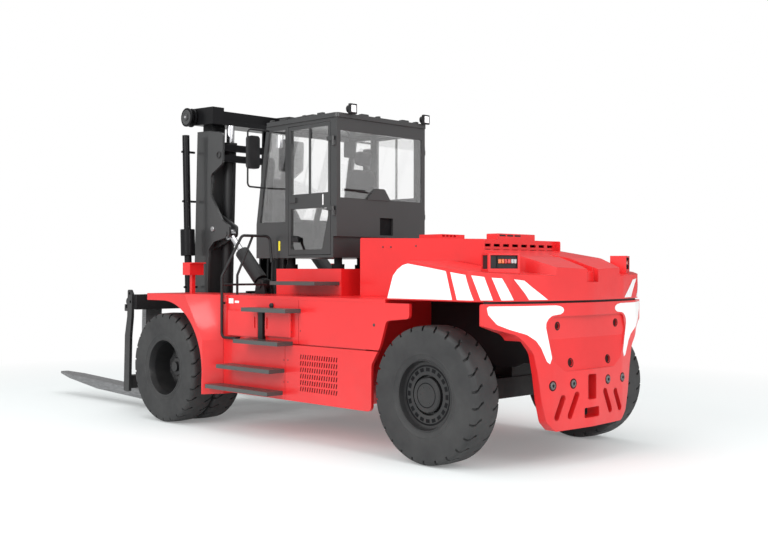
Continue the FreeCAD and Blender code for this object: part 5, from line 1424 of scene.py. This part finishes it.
    def build(self) -> None:
        """Dress both castings."""
        STOCK.dress(CAST_RED, self.upper, self.lower, "tail_lamps")
        self.joint_plate()
        self.films()
        self.tail_lamps()
        rings, socket_shades = self.socket_bolts()
        rings.build("counterweight_bolts", STOCK.of(WASHER_STEEL), "chassis", "frame_dark")
        self.pocket_shades()
        socket_shades.build("counterweight_bolt_socket_shades", STOCK.of(BLACK_PLASTIC_AND_SHADE), "chassis", "frame_dark")


# ---------------------------------------------------------------------------
# Cab
# ---------------------------------------------------------------------------
@dataclass(frozen=True)
class Cushion:
    """Padded pad: a crowned closed form with sewn channels, filled out as cloth."""

    name: str
    centre: Place
    half: Place
    squareness: float
    lean_deg: float = 0.0
    channels: tuple[float, ...] = ()
    channel_axis: int = 0
    channel_depth: float = 0.010
    channel_width: float = 0.012
    voxel: float = 0.006
    most_move: float = 0.012
    fill: float = 0.7
    rows: int = 56
    columns: int = 88
    pressure: float = 4.0
    frames: int = 20

    def surface(self) -> Array:
        """The pad's start form, with its channels sunk and its lean applied.

        Each channel lowers the height by depth*exp(-(distance/width)^2), and the whole
        form is turned about the cross axis.

        Returns:
            A grid, to be wrapped along its columns.
        """
        grid = puffed((0, 0, 0), self.half, self.squareness, self.rows, self.columns)
        thin = int(np.argmin(self.half))
        for share in self.channels:
            away = (grid[..., self.channel_axis] - share * self.half[self.channel_axis]) / self.channel_width
            dip = self.channel_depth * np.exp(-away ** 2)
            grid[..., thin] -= np.sign(grid[..., thin]) * np.minimum(dip, np.abs(grid[..., thin]) * 0.8)
        a = math.radians(self.lean_deg)
        x, z = grid[..., 0].copy(), grid[..., 2].copy()
        grid[..., 0] = x * math.cos(a) - z * math.sin(a)
        grid[..., 2] = x * math.sin(a) + z * math.cos(a)
        return grid + np.asarray(self.centre)

    def filled_out(self, piece: bpy.types.Object) -> None:
        """Blow the pad up a little as cloth and keep the result in its mesh.

        A remeshed copy is simulated under light pressure without gravity; each
        point's movement is shortened to the allowed length before it is kept.

        Args:
            piece: the pad, still in its start form.
        """
        scene = bpy.context.scene
        start = bpy.data.objects.new(self.name + "_start", piece.data.copy())
        scene.collection.objects.link(start)
        remesh = start.modifiers.new("remesh", "REMESH")
        remesh.mode = "VOXEL"
        remesh.voxel_size = self.voxel
        shape = bpy.data.meshes.new_from_object(start.evaluated_get(bpy.context.evaluated_depsgraph_get()))
        bpy.data.objects.remove(start)
        cloth_piece = bpy.data.objects.new(self.name + "_cloth", shape)
        scene.collection.objects.link(cloth_piece)
        cloth = cloth_piece.modifiers.new("cloth", "CLOTH")
        cloth.settings.use_pressure = True
        cloth.settings.uniform_pressure_force = self.pressure
        cloth.settings.effector_weights.gravity = 0.0
        cloth.point_cache.frame_start, cloth.point_cache.frame_end = 1, self.frames
        for frame_number in range(1, self.frames + 1):
            scene.frame_set(frame_number)
        result = bpy.data.meshes.new_from_object(cloth_piece.evaluated_get(bpy.context.evaluated_depsgraph_get()))
        before, after = np.empty(len(shape.vertices) * 3), np.empty(len(result.vertices) * 3)
        shape.vertices.foreach_get("co", before)
        result.vertices.foreach_get("co", after)
        move = (after - before).reshape(-1, 3)
        size = np.linalg.norm(move, axis=1, keepdims=True)
        move *= np.minimum(1.0, self.most_move / np.maximum(size, 1e-9))
        result.vertices.foreach_set("co", (before.reshape(-1, 3) + move).ravel())
        result.update()
        bpy.data.objects.remove(cloth_piece)
        scene.frame_set(1)
        finish = piece.data.materials[0]
        result.materials.clear()
        result.materials.append(finish)
        result.shade_smooth()
        piece.data = result

    def build(self) -> bpy.types.Object:
        """Returns:
            The finished object.
        """
        skin = Skin()
        skin.add_grid(self.surface(), wrap_columns=True)
        piece = skin.build(self.name, STOCK.of(SEAT_CLOTH), "chassis", "seat_fabric", 180)
        self.filled_out(piece)
        round_off = piece.modifiers.new("round_off", "SUBSURF")
        round_off.levels = round_off.render_levels = 1
        return piece


@dataclass
class OperatorSeat:
    """Sprung seat: cloth cushion, tall back and headrest on a dark base."""

    node: str = "seat"
    width: float = 0.47
    cushion_at: Place = (0.36, 0.0, 0.315)
    back_at: Place = (0.125, 0.0, 0.70)
    headrest_at: Place = (0.062, 0.0, 0.035)
    base: Block = Block((0.13, -0.20, 0.0), (0.53, 0.20, 0.258), 0.02)
    back_plate: Block = Block((0.075, -0.17, 0.28), (0.105, 0.17, 0.80), 0.010)

    def build(self) -> None:
        """Make the padded pieces and the base under them."""
        low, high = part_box(self.node)
        half = self.width / 2
        foot = np.array([low.x, (low.y + high.y) / 2, low.z])
        top = np.array([low.x, foot[1], high.z])
        cushion = Cushion("seat_cushion", foot + self.cushion_at, (0.25, half, 0.058), 2.6,
                          channels=(-0.35, 0.25), most_move=0.008)
        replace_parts(cushion.build(), self.node)
        Cushion("seat_back", foot + self.back_at, (0.055, half - 0.01, 0.36), 2.5, 7.5,
                channels=(-0.45, 0.0, 0.45), channel_axis=2, most_move=0.008).build()
        Cushion("seat_headrest", top + self.headrest_at, (0.036, 0.125, 0.085), 2.3, 5.0, most_move=0.005).build()
        block_piece("seat_base", BLACK_PLASTIC_AND_SHADE, "chassis", "plastic_dark",
                    *(Block(foot + part.low, foot + part.high, part.edge) for part in (self.base, self.back_plate)))


@dataclass
class Cab:
    """Glazed cab with its wiper, lamps, door handles and inside."""

    rear_face: float = -1.555
    wiper_tip: Span = (0.595, 2.835)
    wiper_root: Span = (0.20, 2.805)
    wiper_bow: float = 0.4
    wiper_radius: float = 0.006
    blade_across: Span = (-0.30, 0.03)
    blade_up: Span = (-0.022, 0.004)
    lamp_drum: float = 0.046
    lamp_half: float = 0.037
    lamp_bezel: float = 0.018
    lamp_drop: float = 0.006
    lamp_glass: Span = (-0.010, -0.004)
    lamp_case: Span = (-0.008, 0.030)
    handle_x: Span = (-0.885, -0.785)
    handle_y: Span = (0.742, 0.768)
    handle_z: Span = (2.225, 2.285)
    lock: Place = (-0.776, 0.740, 2.737)
    lock_head: Span = (0.018, 0.008)
    marker: Block = Block((-1.327, 0.7405, 2.655), (-1.307, 0.7425, 2.780), 0.0004)
    reflector: Block = Block((-0.530, 0.7402, 2.130), (-0.496, 0.7440, 2.246), 0.001)
    air_pocket_floor: float = 0.0345
    air_pocket_y: Span = (-0.177, 0.042)
    air_pocket_z: Span = (2.312, 2.519)
    lug_foot: float = 3.7135
    rear_lugs: tuple[Span, ...] = ((0.215, 0.330), (0.020, 0.060), (-0.470, -0.350), (-0.640, -0.590))
    side_lugs: tuple[Span, ...] = ((-1.30, -1.20), (-0.98, -0.93), (-0.62, -0.50), (-0.36, -0.31))
    lug_edge: float = 0.004
    screen_case: Block = Block((-1.135, 0.050, 3.265), (-1.100, 0.225, 3.455), 0.008)
    screen_arm: tuple[Place, ...] = ((-1.115, 0.137, 3.455), (-1.105, 0.140, 3.53), (-1.080, 0.150, 3.605))
    screen_arm_radius: float = 0.012

    def wiper(self) -> None:
        """Rear wiper: a round arm and a flat blade parked along the window's foot."""
        x = self.rear_face - 0.016
        (y0, z0), (y1, z1) = self.wiper_root, self.wiper_tip
        near, share = 1.0 - self.wiper_bow, self.wiper_bow
        bow = (x - 0.012, y0 * near + y1 * share, z0 * near + z1 * share)
        skin = Skin()
        skin.add_grid(tube(smooth_path(((x, y0, z0), bow, (x - 0.004, y1, z1)), 8), self.wiper_radius, 8),
                      wrap_columns=True)
        (left, right), (down, up) = self.blade_across, self.blade_up
        Block((x + 0.006, y1 + left, z1 + down), (x + 0.014, y1 + right, z1 + up), 0.002).add_to(skin)
        skin.build("rear_wiper", STOCK.of(BLACK_PLASTIC_AND_SHADE), "chassis", "plastic_dark")

    def lamp_faces(self) -> None:
        """Square clear faces in dark cases, on the two work lamps at the roof's rear edge."""
        low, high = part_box("work_lamps")
        half, rim, drop = self.lamp_half, self.lamp_half + self.lamp_bezel, self.lamp_drop
        z = high.z - self.lamp_drum
        glasses, cases = [], []
        for y in (high.y - self.lamp_drum, low.y + self.lamp_drum):
            cases.append(Block((low.x + self.lamp_case[0], y - rim, z - rim - drop),
                               (low.x + self.lamp_case[1], y + rim, z + rim), 0.004))
            glasses.append(Block((low.x + self.lamp_glass[0], y - half, z - half - drop),
                                 (low.x + self.lamp_glass[1], y + half, z + half), 0.002))
        block_piece("work_lamp_faces", LAMP_WHITE, "chassis", "plastic_dark", *glasses)
        block_piece("work_lamp_rims", BLACK_PLASTIC_AND_SHADE, "chassis", "plastic_dark", *cases)

    def door_furniture(self, word: str, side: int) -> None:
        """Handle and lock on one door.

        Args:
            word: left or right, as in the door's own name.
            side: 1 on the left, -1 on the right.
        """
        y0, y1 = sorted(side * y for y in self.handle_y)
        skin = Skin()
        Block((self.handle_x[0], y0, self.handle_z[0]), (self.handle_x[1], y1, self.handle_z[1]), 0.006).add_to(skin)
        skin.add_copies(*hex_head(*self.lock_head, (0, side, 0)), np.array([self.lock]) * (1, side, 1))
        skin.build("door_furniture_" + word, STOCK.of(BLACK_PLASTIC_AND_SHADE), "cab_door_" + word, "plastic_dark")

    def markers(self) -> None:
        """Blank white strip on the left door's bar and the yellow reflector ahead of it."""
        block_piece("door_marker", WHITE_FILM, "cab_door_left", "plastic_dark", self.marker)
        block_piece("yellow_reflector", YELLOW_PLASTIC, "chassis", "plastic_dark", self.reflector)

    def rear_fittings(self) -> None:
        """Painted shade at the bottom of the air pocket below the rear window, and lugs along the roof."""
        x = self.rear_face + self.air_pocket_floor
        (y0, y1), (z0, z1) = self.air_pocket_y, self.air_pocket_z
        # painted shade: a thin dark sheet at the air pocket's bottom
        block_piece("air_pocket_shade", RUBBER_AND_SHADE, "chassis", "plastic_dark",
                    Block((x - 0.0008, y0, z0), (x + 0.0006, y1, z1), 0.0003))
        back, z, edge = self.rear_face, self.lug_foot, self.lug_edge
        block_piece("roof_lugs", CAB_PAINT, "chassis", "cab_dark",
                    *(Block((back + 0.012, y0, z), (back + 0.075, y1, 3.738), edge) for y0, y1 in self.rear_lugs),
                    *(Block((x0, 0.690, z), (x1, 0.735, 3.740), edge) for x0, x1 in self.side_lugs))

    def screen(self) -> None:
        """Display on an arm under the roof, beside the driver's head."""
        skin = Skin()
        self.screen_case.add_to(skin)
        skin.add_grid(tube(smooth_path(self.screen_arm, 8), self.screen_arm_radius, 10), wrap_columns=True)
        skin.build("cab_screen", STOCK.of(BLACK_PLASTIC_AND_SHADE), "chassis", "plastic_dark")

    def build(self) -> None:
        """Dress the cab and all that stands in it."""
        self.screen()
        self.rear_fittings()
        STOCK.dress(CAB_PAINT, "cab_frame", "cab_roof", "door_left", "door_right")
        STOCK.dress(GLASS, "cab_glass", "door_glass_left", "door_glass_right")
        STOCK.dress(RED_PAINT, "cab_pedestal")
        STOCK.dress(RUBBER_AND_SHADE, "cab_mounts")
        STOCK.dress(GREY_PLASTIC, "controls")
        STOCK.dress(BLACK_PLASTIC_AND_SHADE, "mirrors", "work_lamps")
        self.wiper()
        self.lamp_faces()
        for word, side in (("left", 1), ("right", -1)):
            self.door_furniture(word, side)
        self.markers()
        OperatorSeat().build()


# ---------------------------------------------------------------------------
# Body, mast and carriage
# ---------------------------------------------------------------------------
@dataclass
class Body:
    """Red body: skins, louvres, deck, bonnet, steps and rails."""

    side_face: float = 1.400
    bonnet_face: float = 0.650
    bonnet_bolts: tuple[Span, ...] = ((-2.225, 2.151), (-2.350, 2.149), (-2.730, 2.154))
    bonnet_bolt_head: Span = (0.016, 0.007)
    plates: tuple[tuple[float, float, float, float], ...] = (
        (-0.475, -0.385, 1.500, 1.560), (-0.585, -0.505, 1.508, 1.534))
    lock: Span = (-2.859, 1.337)
    lock_disc: tuple[Span, ...] = ((0.0004, 0.006), (0.012, 0.006), (0.016, 0.003), (0.016, -0.002))
    filler: Span = (-1.202, 1.492)
    filler_cap: tuple[Span, ...] = ((0.0004, 0.030), (0.018, 0.028), (0.027, 0.020), (0.030, 0.008), (0.030, -0.002))
    louvre_first: Span = (-2.2916, 0.9450)
    louvre_pitch: Span = (0.039, 0.070)
    louvre_grid: tuple[int, int] = (16, 6)
    louvre_half: Place = (0.0083, 0.0247, 0.0059)
    louvre_sink: float = 0.006
    intake: Block = Block((-3.600, -0.300, 2.190), (-3.440, 0.330, 2.278), 0.006)
    intake_slots: tuple[float, ...] = (0.255, 0.130, 0.005)
    intake_slot_half: float = 0.050
    intake_slot_below_top: Span = (0.030, 0.012)
    seam_bolts: tuple[Place, ...] = (
        (-1.417, 1.4, 0.892), (-1.487, 1.4, 0.896), (-1.418, 1.4, 0.647), (-1.488, 1.4, 0.652), (-1.702, 1.4, 1.227),
        (-1.570, 1.419, 1.343), (-1.570, 1.419, 1.211))
    seam_bolt_head: Span = (0.011, 0.005)
    step_post_x: Span = (-1.0858, -1.0042)
    step_post_z: Span = (1.1085, 1.4500)

    def small_bolts(self) -> None:
        """Bolts on the bonnet's sides, the lock of each side panel and the seams' bolts."""
        skin = Skin()
        for side in (1, -1):
            out = (0, side, 0)
            at = [(x, side * self.bonnet_face, z) for x, z in self.bonnet_bolts]
            skin.add_copies(*hex_head(*self.bonnet_bolt_head, out), np.array(at))
            centre = (self.lock[0], side * self.side_face, self.lock[1])
            skin.add_grid(revolved(self.lock_disc, centre, out, 20)[::-1], wrap_columns=True)
            skin.add_copies(*hex_head(*self.seam_bolt_head, out), np.array(self.seam_bolts) * (1, side, 1))
        skin.build("body_bolts", STOCK.of(DARK_STEEL), "chassis", "frame_dark")

    def bonnet_grille(self) -> None:
        """Raised intake box at the bonnet's rear edge, with three slots drawn as thin dark sheets of painted shade.
        """
        block_piece("bonnet_intake", RED_PAINT, "chassis", "body_red", self.intake)
        x, top, half = self.intake.low[0], self.intake.high[2], self.intake_slot_half
        down, up = self.intake_slot_below_top
        # painted shade: thin dark sheets where the slots' openings are
        block_piece("bonnet_intake_slot_shades", BLACK_PLASTIC_AND_SHADE, "chassis", "plastic_dark",
                    *(Block((x - 0.0008, y - half, top - down), (x + 0.0010, y + half, top - up), 0.0003)
                      for y in self.intake_slots))

    def louvre_shades(self) -> None:
        """Painted shade in every louvre slot: a dark patch a little below the door's face.

        Each is a slanted four-cornered patch; rows and columns step by the louvres'
        own pitches.
        """
        half_w, half_h, slant = self.louvre_half
        corner = np.array([(slant - half_w, -half_h), (slant + half_w, -half_h), (half_w - slant, half_h),
                           (-half_w - slant, half_h)])
        column, row = np.meshgrid(np.arange(self.louvre_grid[0]), np.arange(self.louvre_grid[1]))
        x = self.louvre_first[0] + column.ravel() * self.louvre_pitch[0]
        z = self.louvre_first[1] - row.ravel() * self.louvre_pitch[1]
        skin = Skin()
        for side in (1, -1):
            patch = np.stack([corner[:, 0], np.zeros(4), corner[:, 1]], axis=-1)
            places = np.stack([x, np.full(len(x), side * (self.side_face - self.louvre_sink)), z], axis=-1)
            face = np.array([[3, 2, 1, 0]]) if side > 0 else np.array([[0, 1, 2, 3]])
            skin.add_copies(patch, face, places)
        skin.build("louvre_shades", STOCK.of(RUBBER_AND_SHADE), "chassis", "frame_dark")

    def side_details(self) -> None:
        """Blank plates, the dark cap and the cover of the upper step's post, all on the left."""
        face = self.side_face
        block_piece("blank_plates", WHITE_FILM, "chassis", "body_red",
                    *(Block((x0, face + 0.0002, z0), (x1, face + 0.0022, z1), 0.0006)
                      for x0, x1, z0, z1 in self.plates))
        skin = Skin()
        centre = (self.filler[0], face, self.filler[1])
        skin.add_grid(revolved(self.filler_cap, centre, (0, 1, 0), 28)[::-1], wrap_columns=True)
        skin.build("side_cap", STOCK.of(BLACK_PLASTIC_AND_SHADE), "chassis", "plastic_dark")
        (x0, x1), (z0, z1) = self.step_post_x, self.step_post_z
        block_piece("step_post_cover", BLACK_PLASTIC_AND_SHADE, "chassis", "plastic_dark",
                    Block((x0, face + 0.0003, z0), (x1, face + 0.0475, z1), 0.002))

    def build(self) -> None:
        """Dress the body."""
        STOCK.dress(RED_PAINT, "side_tanks", "fenders", "side_panels", "louvre_doors", "deck", "hood", "headlamps")
        STOCK.dress(DARK_PAINT, "chassis_frame", "drive_axle", "steer_axle", "knuckle_left", "knuckle_right",
                    "battery_block", "handrails")
        STOCK.dress(STEP_PAINT, "steps")
        self.small_bolts()
        self.bonnet_grille()
        self.louvre_shades()
        self.side_details()


@dataclass
class Mast:
    """Two-stage mast with its cylinders, hose conduit, carriage and forks."""

    lean_deg: float = 2.0
    conduit_foot: Place = (1.3023, 0.83, 1.51)
    conduit_top: float = 3.705
    conduit_radius: float = 0.048
    sleeve: Place = (2.085, 2.440, 0.096)
    sleeve_edge: float = 0.006
    clamps: tuple[float, ...] = (1.665, 2.815, 3.480)
    clamp_half: Span = (0.020, 0.014)
    mast_side: float = 0.697
    reel_section: tuple[Span, ...] = (
        (0.098, -0.001), (0.098, 0.004), (0.092, 0.007), (0.078, 0.007), (0.074, 0.001), (0.045, 0.001),
        (0.042, 0.014), (0.030, 0.016), (0.0005, 0.016))
    reel_nut: Span = (0.034, 0.014)
    pin: Place = (0.943, 0.694, 2.437)
    pin_section: tuple[Span, ...] = ((0.034, -0.002), (0.034, 0.014), (0.030, 0.018), (0.0005, 0.018))
    eye: Place = (0.811, 0.700, 3.407)
    eye_radius: float = 0.040
    eye_wire: float = 0.008

    def along(self, height: float) -> Array:
        """Point of the conduit's leaning centre line at a height."""
        x, y, z = self.conduit_foot
        return np.array([x + (height - z) * math.tan(math.radians(self.lean_deg)), y, height])

    def conduit(self) -> None:
        """Hose conduit with its sleeve and thin clamp bars."""
        low, high, wide = self.sleeve
        foot, r, edge = self.conduit_foot[2], self.conduit_radius, self.sleeve_edge
        section = [(0.001, 0), (r, 0), (r, low - foot), (wide - edge, low - foot), (wide, low - foot + edge),
                   (wide, high - foot - edge), (wide - edge, high - foot), (r, high - foot),
                   (r, self.conduit_top - foot), (0.001, self.conduit_top - foot)]
        skin = Skin()
        axis = self.along(high) - self.along(low)
        skin.add_grid(revolved(section, self.conduit_foot, axis, 36), wrap_columns=True)
        long, thick = self.clamp_half
        for z in self.clamps:
            x, y, _ = self.along(z)
            Block((x - long, self.mast_side, z - thick), (x + long, y + r + 0.020, z + thick), 0.004).add_to(skin)
        piece = skin.build("hose_conduit", STOCK.of(MAST_BLACK_AND_SHADE), "mast_outer", "frame_dark")
        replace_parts(piece, "hose_guide")

    def reel_face(self) -> None:
        """Dished face, dark groove and bright nut on the outer side of the hose reel."""
        low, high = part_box("hose_reel")
        x, y, z = (low.x + high.x) / 2, high.y, (low.z + high.z) / 2
        skin = Skin()
        skin.add_grid(revolved(self.reel_section, (x, y, z), (0, 1, 0), 40), wrap_columns=True)
        skin.build("reel_face", STOCK.of(MAST_PAINT), "mast_inner", "mast_grey")
        skin = Skin()
        skin.add_copies(*hex_head(*self.reel_nut, (0, 1, 0)), np.array([[x, y + self.reel_section[-1][1], z]]))
        skin.build("reel_nut", STOCK.of(BRIGHT_STEEL), "mast_inner", "chrome")

    def pins_and_eyes(self) -> None:
        """Bright pin heads at the tilt lugs, and a lifting eye above, on both sides of the mast.

        An eye is a ring: its section is a circle of the wire's radius about the eye's.
        """
        heads, eyes = Skin(), Skin()
        t = np.linspace(0.0, 2 * math.pi, 12, endpoint=False)
        wire = np.stack([self.eye_radius + self.eye_wire * np.cos(t), self.eye_wire * np.sin(t)], axis=-1)
        for side in (1, -1):
            flip, out = np.array([1, side, 1]), (0, side, 0)
            heads.add_grid(revolved(self.pin_section, self.pin * flip, out, 28), wrap_columns=True)
            eyes.add_grid(revolved(wire, self.eye * flip, out, 32), wrap_rows=True, wrap_columns=True)
        heads.build("tilt_pin_heads", STOCK.of(BRIGHT_STEEL), "mast_outer", "chrome")
        eyes.build("mast_lifting_eyes", STOCK.of(CARRIAGE_PAINT), "mast_outer", "frame_dark")

    def build(self) -> None:
        """Dress the mast."""
        STOCK.dress(MAST_PAINT, "outer_mast")
        STOCK.dress(CARRIAGE_PAINT, "carriage")
        STOCK.dress(MAST_BLACK_AND_SHADE, "inner_mast", "mast_ties", "hose_reel")
        STOCK.dress(DARK_PAINT, "lift_cylinders", "hose_guide", "tilt_barrel_left", "tilt_barrel_right")
        STOCK.dress(CHROME, "lift_rods", "tilt_rod_left", "tilt_rod_right")
        STOCK.dress(FORK_STEEL, "fork_left", "fork_right")
        self.conduit()
        self.reel_face()
        self.pins_and_eyes()


# ---------------------------------------------------------------------------
# Studio
# ---------------------------------------------------------------------------
@dataclass(frozen=True)
class SoftLamp:
    """Square soft lamp that looks at a point."""

    name: str
    place: Place
    aim: Place
    size: float
    watts: float

    def hang(self) -> None:
        """Put the lamp into the scene."""
        data = bpy.data.lights.new(self.name, "AREA")
        data.shape = "SQUARE"
        data.size = self.size
        data.energy = self.watts
        lamp = bpy.data.objects.new(self.name, data)
        bpy.context.scene.collection.objects.link(lamp)
        lamp.location = self.place
        lamp.rotation_euler = (Vector(self.aim) - Vector(self.place)).to_track_quat("-Z", "Y").to_euler()


@dataclass
class Studio:
    """Pale floor, soft lamps, bright surroundings and the camera."""

    eye_behind_axle: float = -6.852
    eye_side: float = 8.696
    eye_height: float = 1.888
    yaw_deg: float = 44.576
    pitch_deg: float = 0.123
    roll_deg: float = 0.085
    lens_mm: float = 48.49
    sensor_mm: float = 36.0
    sight: float = 300.0
    floor_half: float = 60.0
    floor_drop: float = -0.001
    floor_colour: tuple[float, float, float, float] = (0.79, 0.83, 0.83, 1)
    white: tuple[float, float, float, float] = (1, 1, 1, 1)
    white_from: float = 4.5
    white_to: float = 10.0
    least_white: float = 0.20
    bright_way: Place = (-0.5, 0.5, 0.7)
    fill_map: tuple[float, float, float, float] = (-0.65, 0.75, 0.10, 1.12)
    lamps: tuple[SoftLamp, ...] = (
        SoftLamp("key_lamp", (-3.0, 12.0, 7.0), (-1.0, 0.0, 1.2), 7.0, 700),
        SoftLamp("rear_lamp", (-13.0, 1.0, 6.0), (-3.0, 0.0, 1.2), 6.0, 350),
        SoftLamp("top_lamp", (0.0, 0.0, 11.0), (0.0, 0.0, 0.0), 10.0, 350))

    def floor(self) -> None:
        """Pale floor that keeps the truck's shadow and fades to white far off."""
        h, z = self.floor_half, self.floor_drop
        mesh = bpy.data.meshes.new("floor")
        mesh.from_pydata([(-h, -h, z), (h, -h, z), (h, h, z), (-h, h, z)], [], [(0, 1, 2, 3)])
        floor = bpy.data.objects.new("floor", mesh)
        bpy.context.scene.collection.objects.link(floor)
        b = Board("studio_floor")
        b.set(Roughness=0.9, Specular_IOR_Level=0.1, Base_Color=self.floor_colour)
        glow = b.node("ShaderNodeEmission")
        glow.inputs["Color"].default_value = self.white
        glow.inputs["Strength"].default_value = 1.0
        length = b.node("ShaderNodeVectorMath", operation="LENGTH")
        b.link(b.place, length.inputs[0])
        far = b.ramp(length.outputs["Value"], self.white_from, self.white_to)
        path = b.node("ShaderNodeLightPath").outputs
        seen = b.larger(b.larger(path["Is Camera Ray"], path["Is Glossy Ray"]), path["Is Transmission Ray"])
        mix = b.node("ShaderNodeMixShader")
        b.link(b.times(b.larger(far, self.least_white), seen), mix.inputs[0])
        b.link(b.shader.outputs[0], mix.inputs[1])
        b.link(glow.outputs[0], mix.inputs[2])
        out = next(n for n in b.material.node_tree.nodes if n.type == "OUTPUT_MATERIAL")
        b.link(mix.outputs[0], out.inputs[0])
        mesh.materials.append(b.material)

    def world(self) -> None:
        """White surroundings for the eye; as a light they are brightest on one side.

        The strength of the light that comes from a direction is a straight map of its
        share along the bright direction.
        """
        world = bpy.data.worlds.new("studio_world")
        bpy.context.scene.world = world
        world.use_nodes = True
        nodes, link = world.node_tree.nodes, world.node_tree.links.new
        nodes.clear()
        out = nodes.new("ShaderNodeOutputWorld")
        seen, fill = nodes.new("ShaderNodeBackground"), nodes.new("ShaderNodeBackground")
        seen.inputs["Strength"].default_value = 1.0
        for background in (seen, fill):
            background.inputs["Color"].default_value = self.white
        share = nodes.new("ShaderNodeVectorMath")
        share.operation = "DOT_PRODUCT"
        share.inputs[1].default_value = tuple(unit(self.bright_way))
        link(nodes.new("ShaderNodeTexCoord").outputs["Generated"], share.inputs[0])
        spread = nodes.new("ShaderNodeMapRange")
        for key, value in zip(("From Min", "From Max", "To Min", "To Max"), self.fill_map):
            spread.inputs[key].default_value = value
        link(share.outputs["Value"], spread.inputs["Value"])
        link(spread.outputs["Result"], fill.inputs["Strength"])
        path = nodes.new("ShaderNodeLightPath").outputs
        most = nodes.new("ShaderNodeMath")
        most.operation = "MAXIMUM"
        link(path["Is Camera Ray"], most.inputs[0])
        link(path["Is Transmission Ray"], most.inputs[1])
        mix = nodes.new("ShaderNodeMixShader")
        link(most.outputs[0], mix.inputs[0])
        link(fill.outputs[0], mix.inputs[1])
        link(seen.outputs[0], mix.inputs[2])
        link(mix.outputs[0], out.inputs[0])

    def camera(self) -> None:
        """Camera that looks along its yaw and pitch, rolled by a hair."""
        data = bpy.data.cameras.new("camera")
        data.lens = self.lens_mm
        data.sensor_width = self.sensor_mm
        data.clip_end = self.sight
        eye = bpy.data.objects.new("camera", data)
        bpy.context.scene.collection.objects.link(eye)
        yaw, pitch, roll = (math.radians(a) for a in (self.yaw_deg, self.pitch_deg, self.roll_deg))
        look = Vector((math.cos(yaw) * math.cos(pitch), -math.sin(yaw) * math.cos(pitch), math.sin(pitch)))
        turn = look.to_track_quat("-Z", "Y").to_matrix().to_4x4()
        place = (self.eye_behind_axle + STEER_AXLE_X, self.eye_side, self.eye_height)
        eye.matrix_world = Matrix.Translation(place) @ turn @ Matrix.Rotation(roll, 4, "Z")
        bpy.context.scene.camera = eye

    def build(self) -> None:
        """Set up the studio."""
        self.floor()
        self.world()
        for lamp in self.lamps:
            lamp.hang()
        self.camera()
        bpy.context.scene.view_settings.view_transform = "Standard"


def main() -> None:
    """Build the studio and every sub-assembly."""
    logging.basicConfig(level=logging.INFO, format="%(name)s: %(message)s")
    for part in (Studio(), Wheels(), Counterweight(), Cab(), Body(), Mast()):
        part.build()
        LOG.info("%s done", type(part).__name__)


if __name__ == "__main__":
    main()
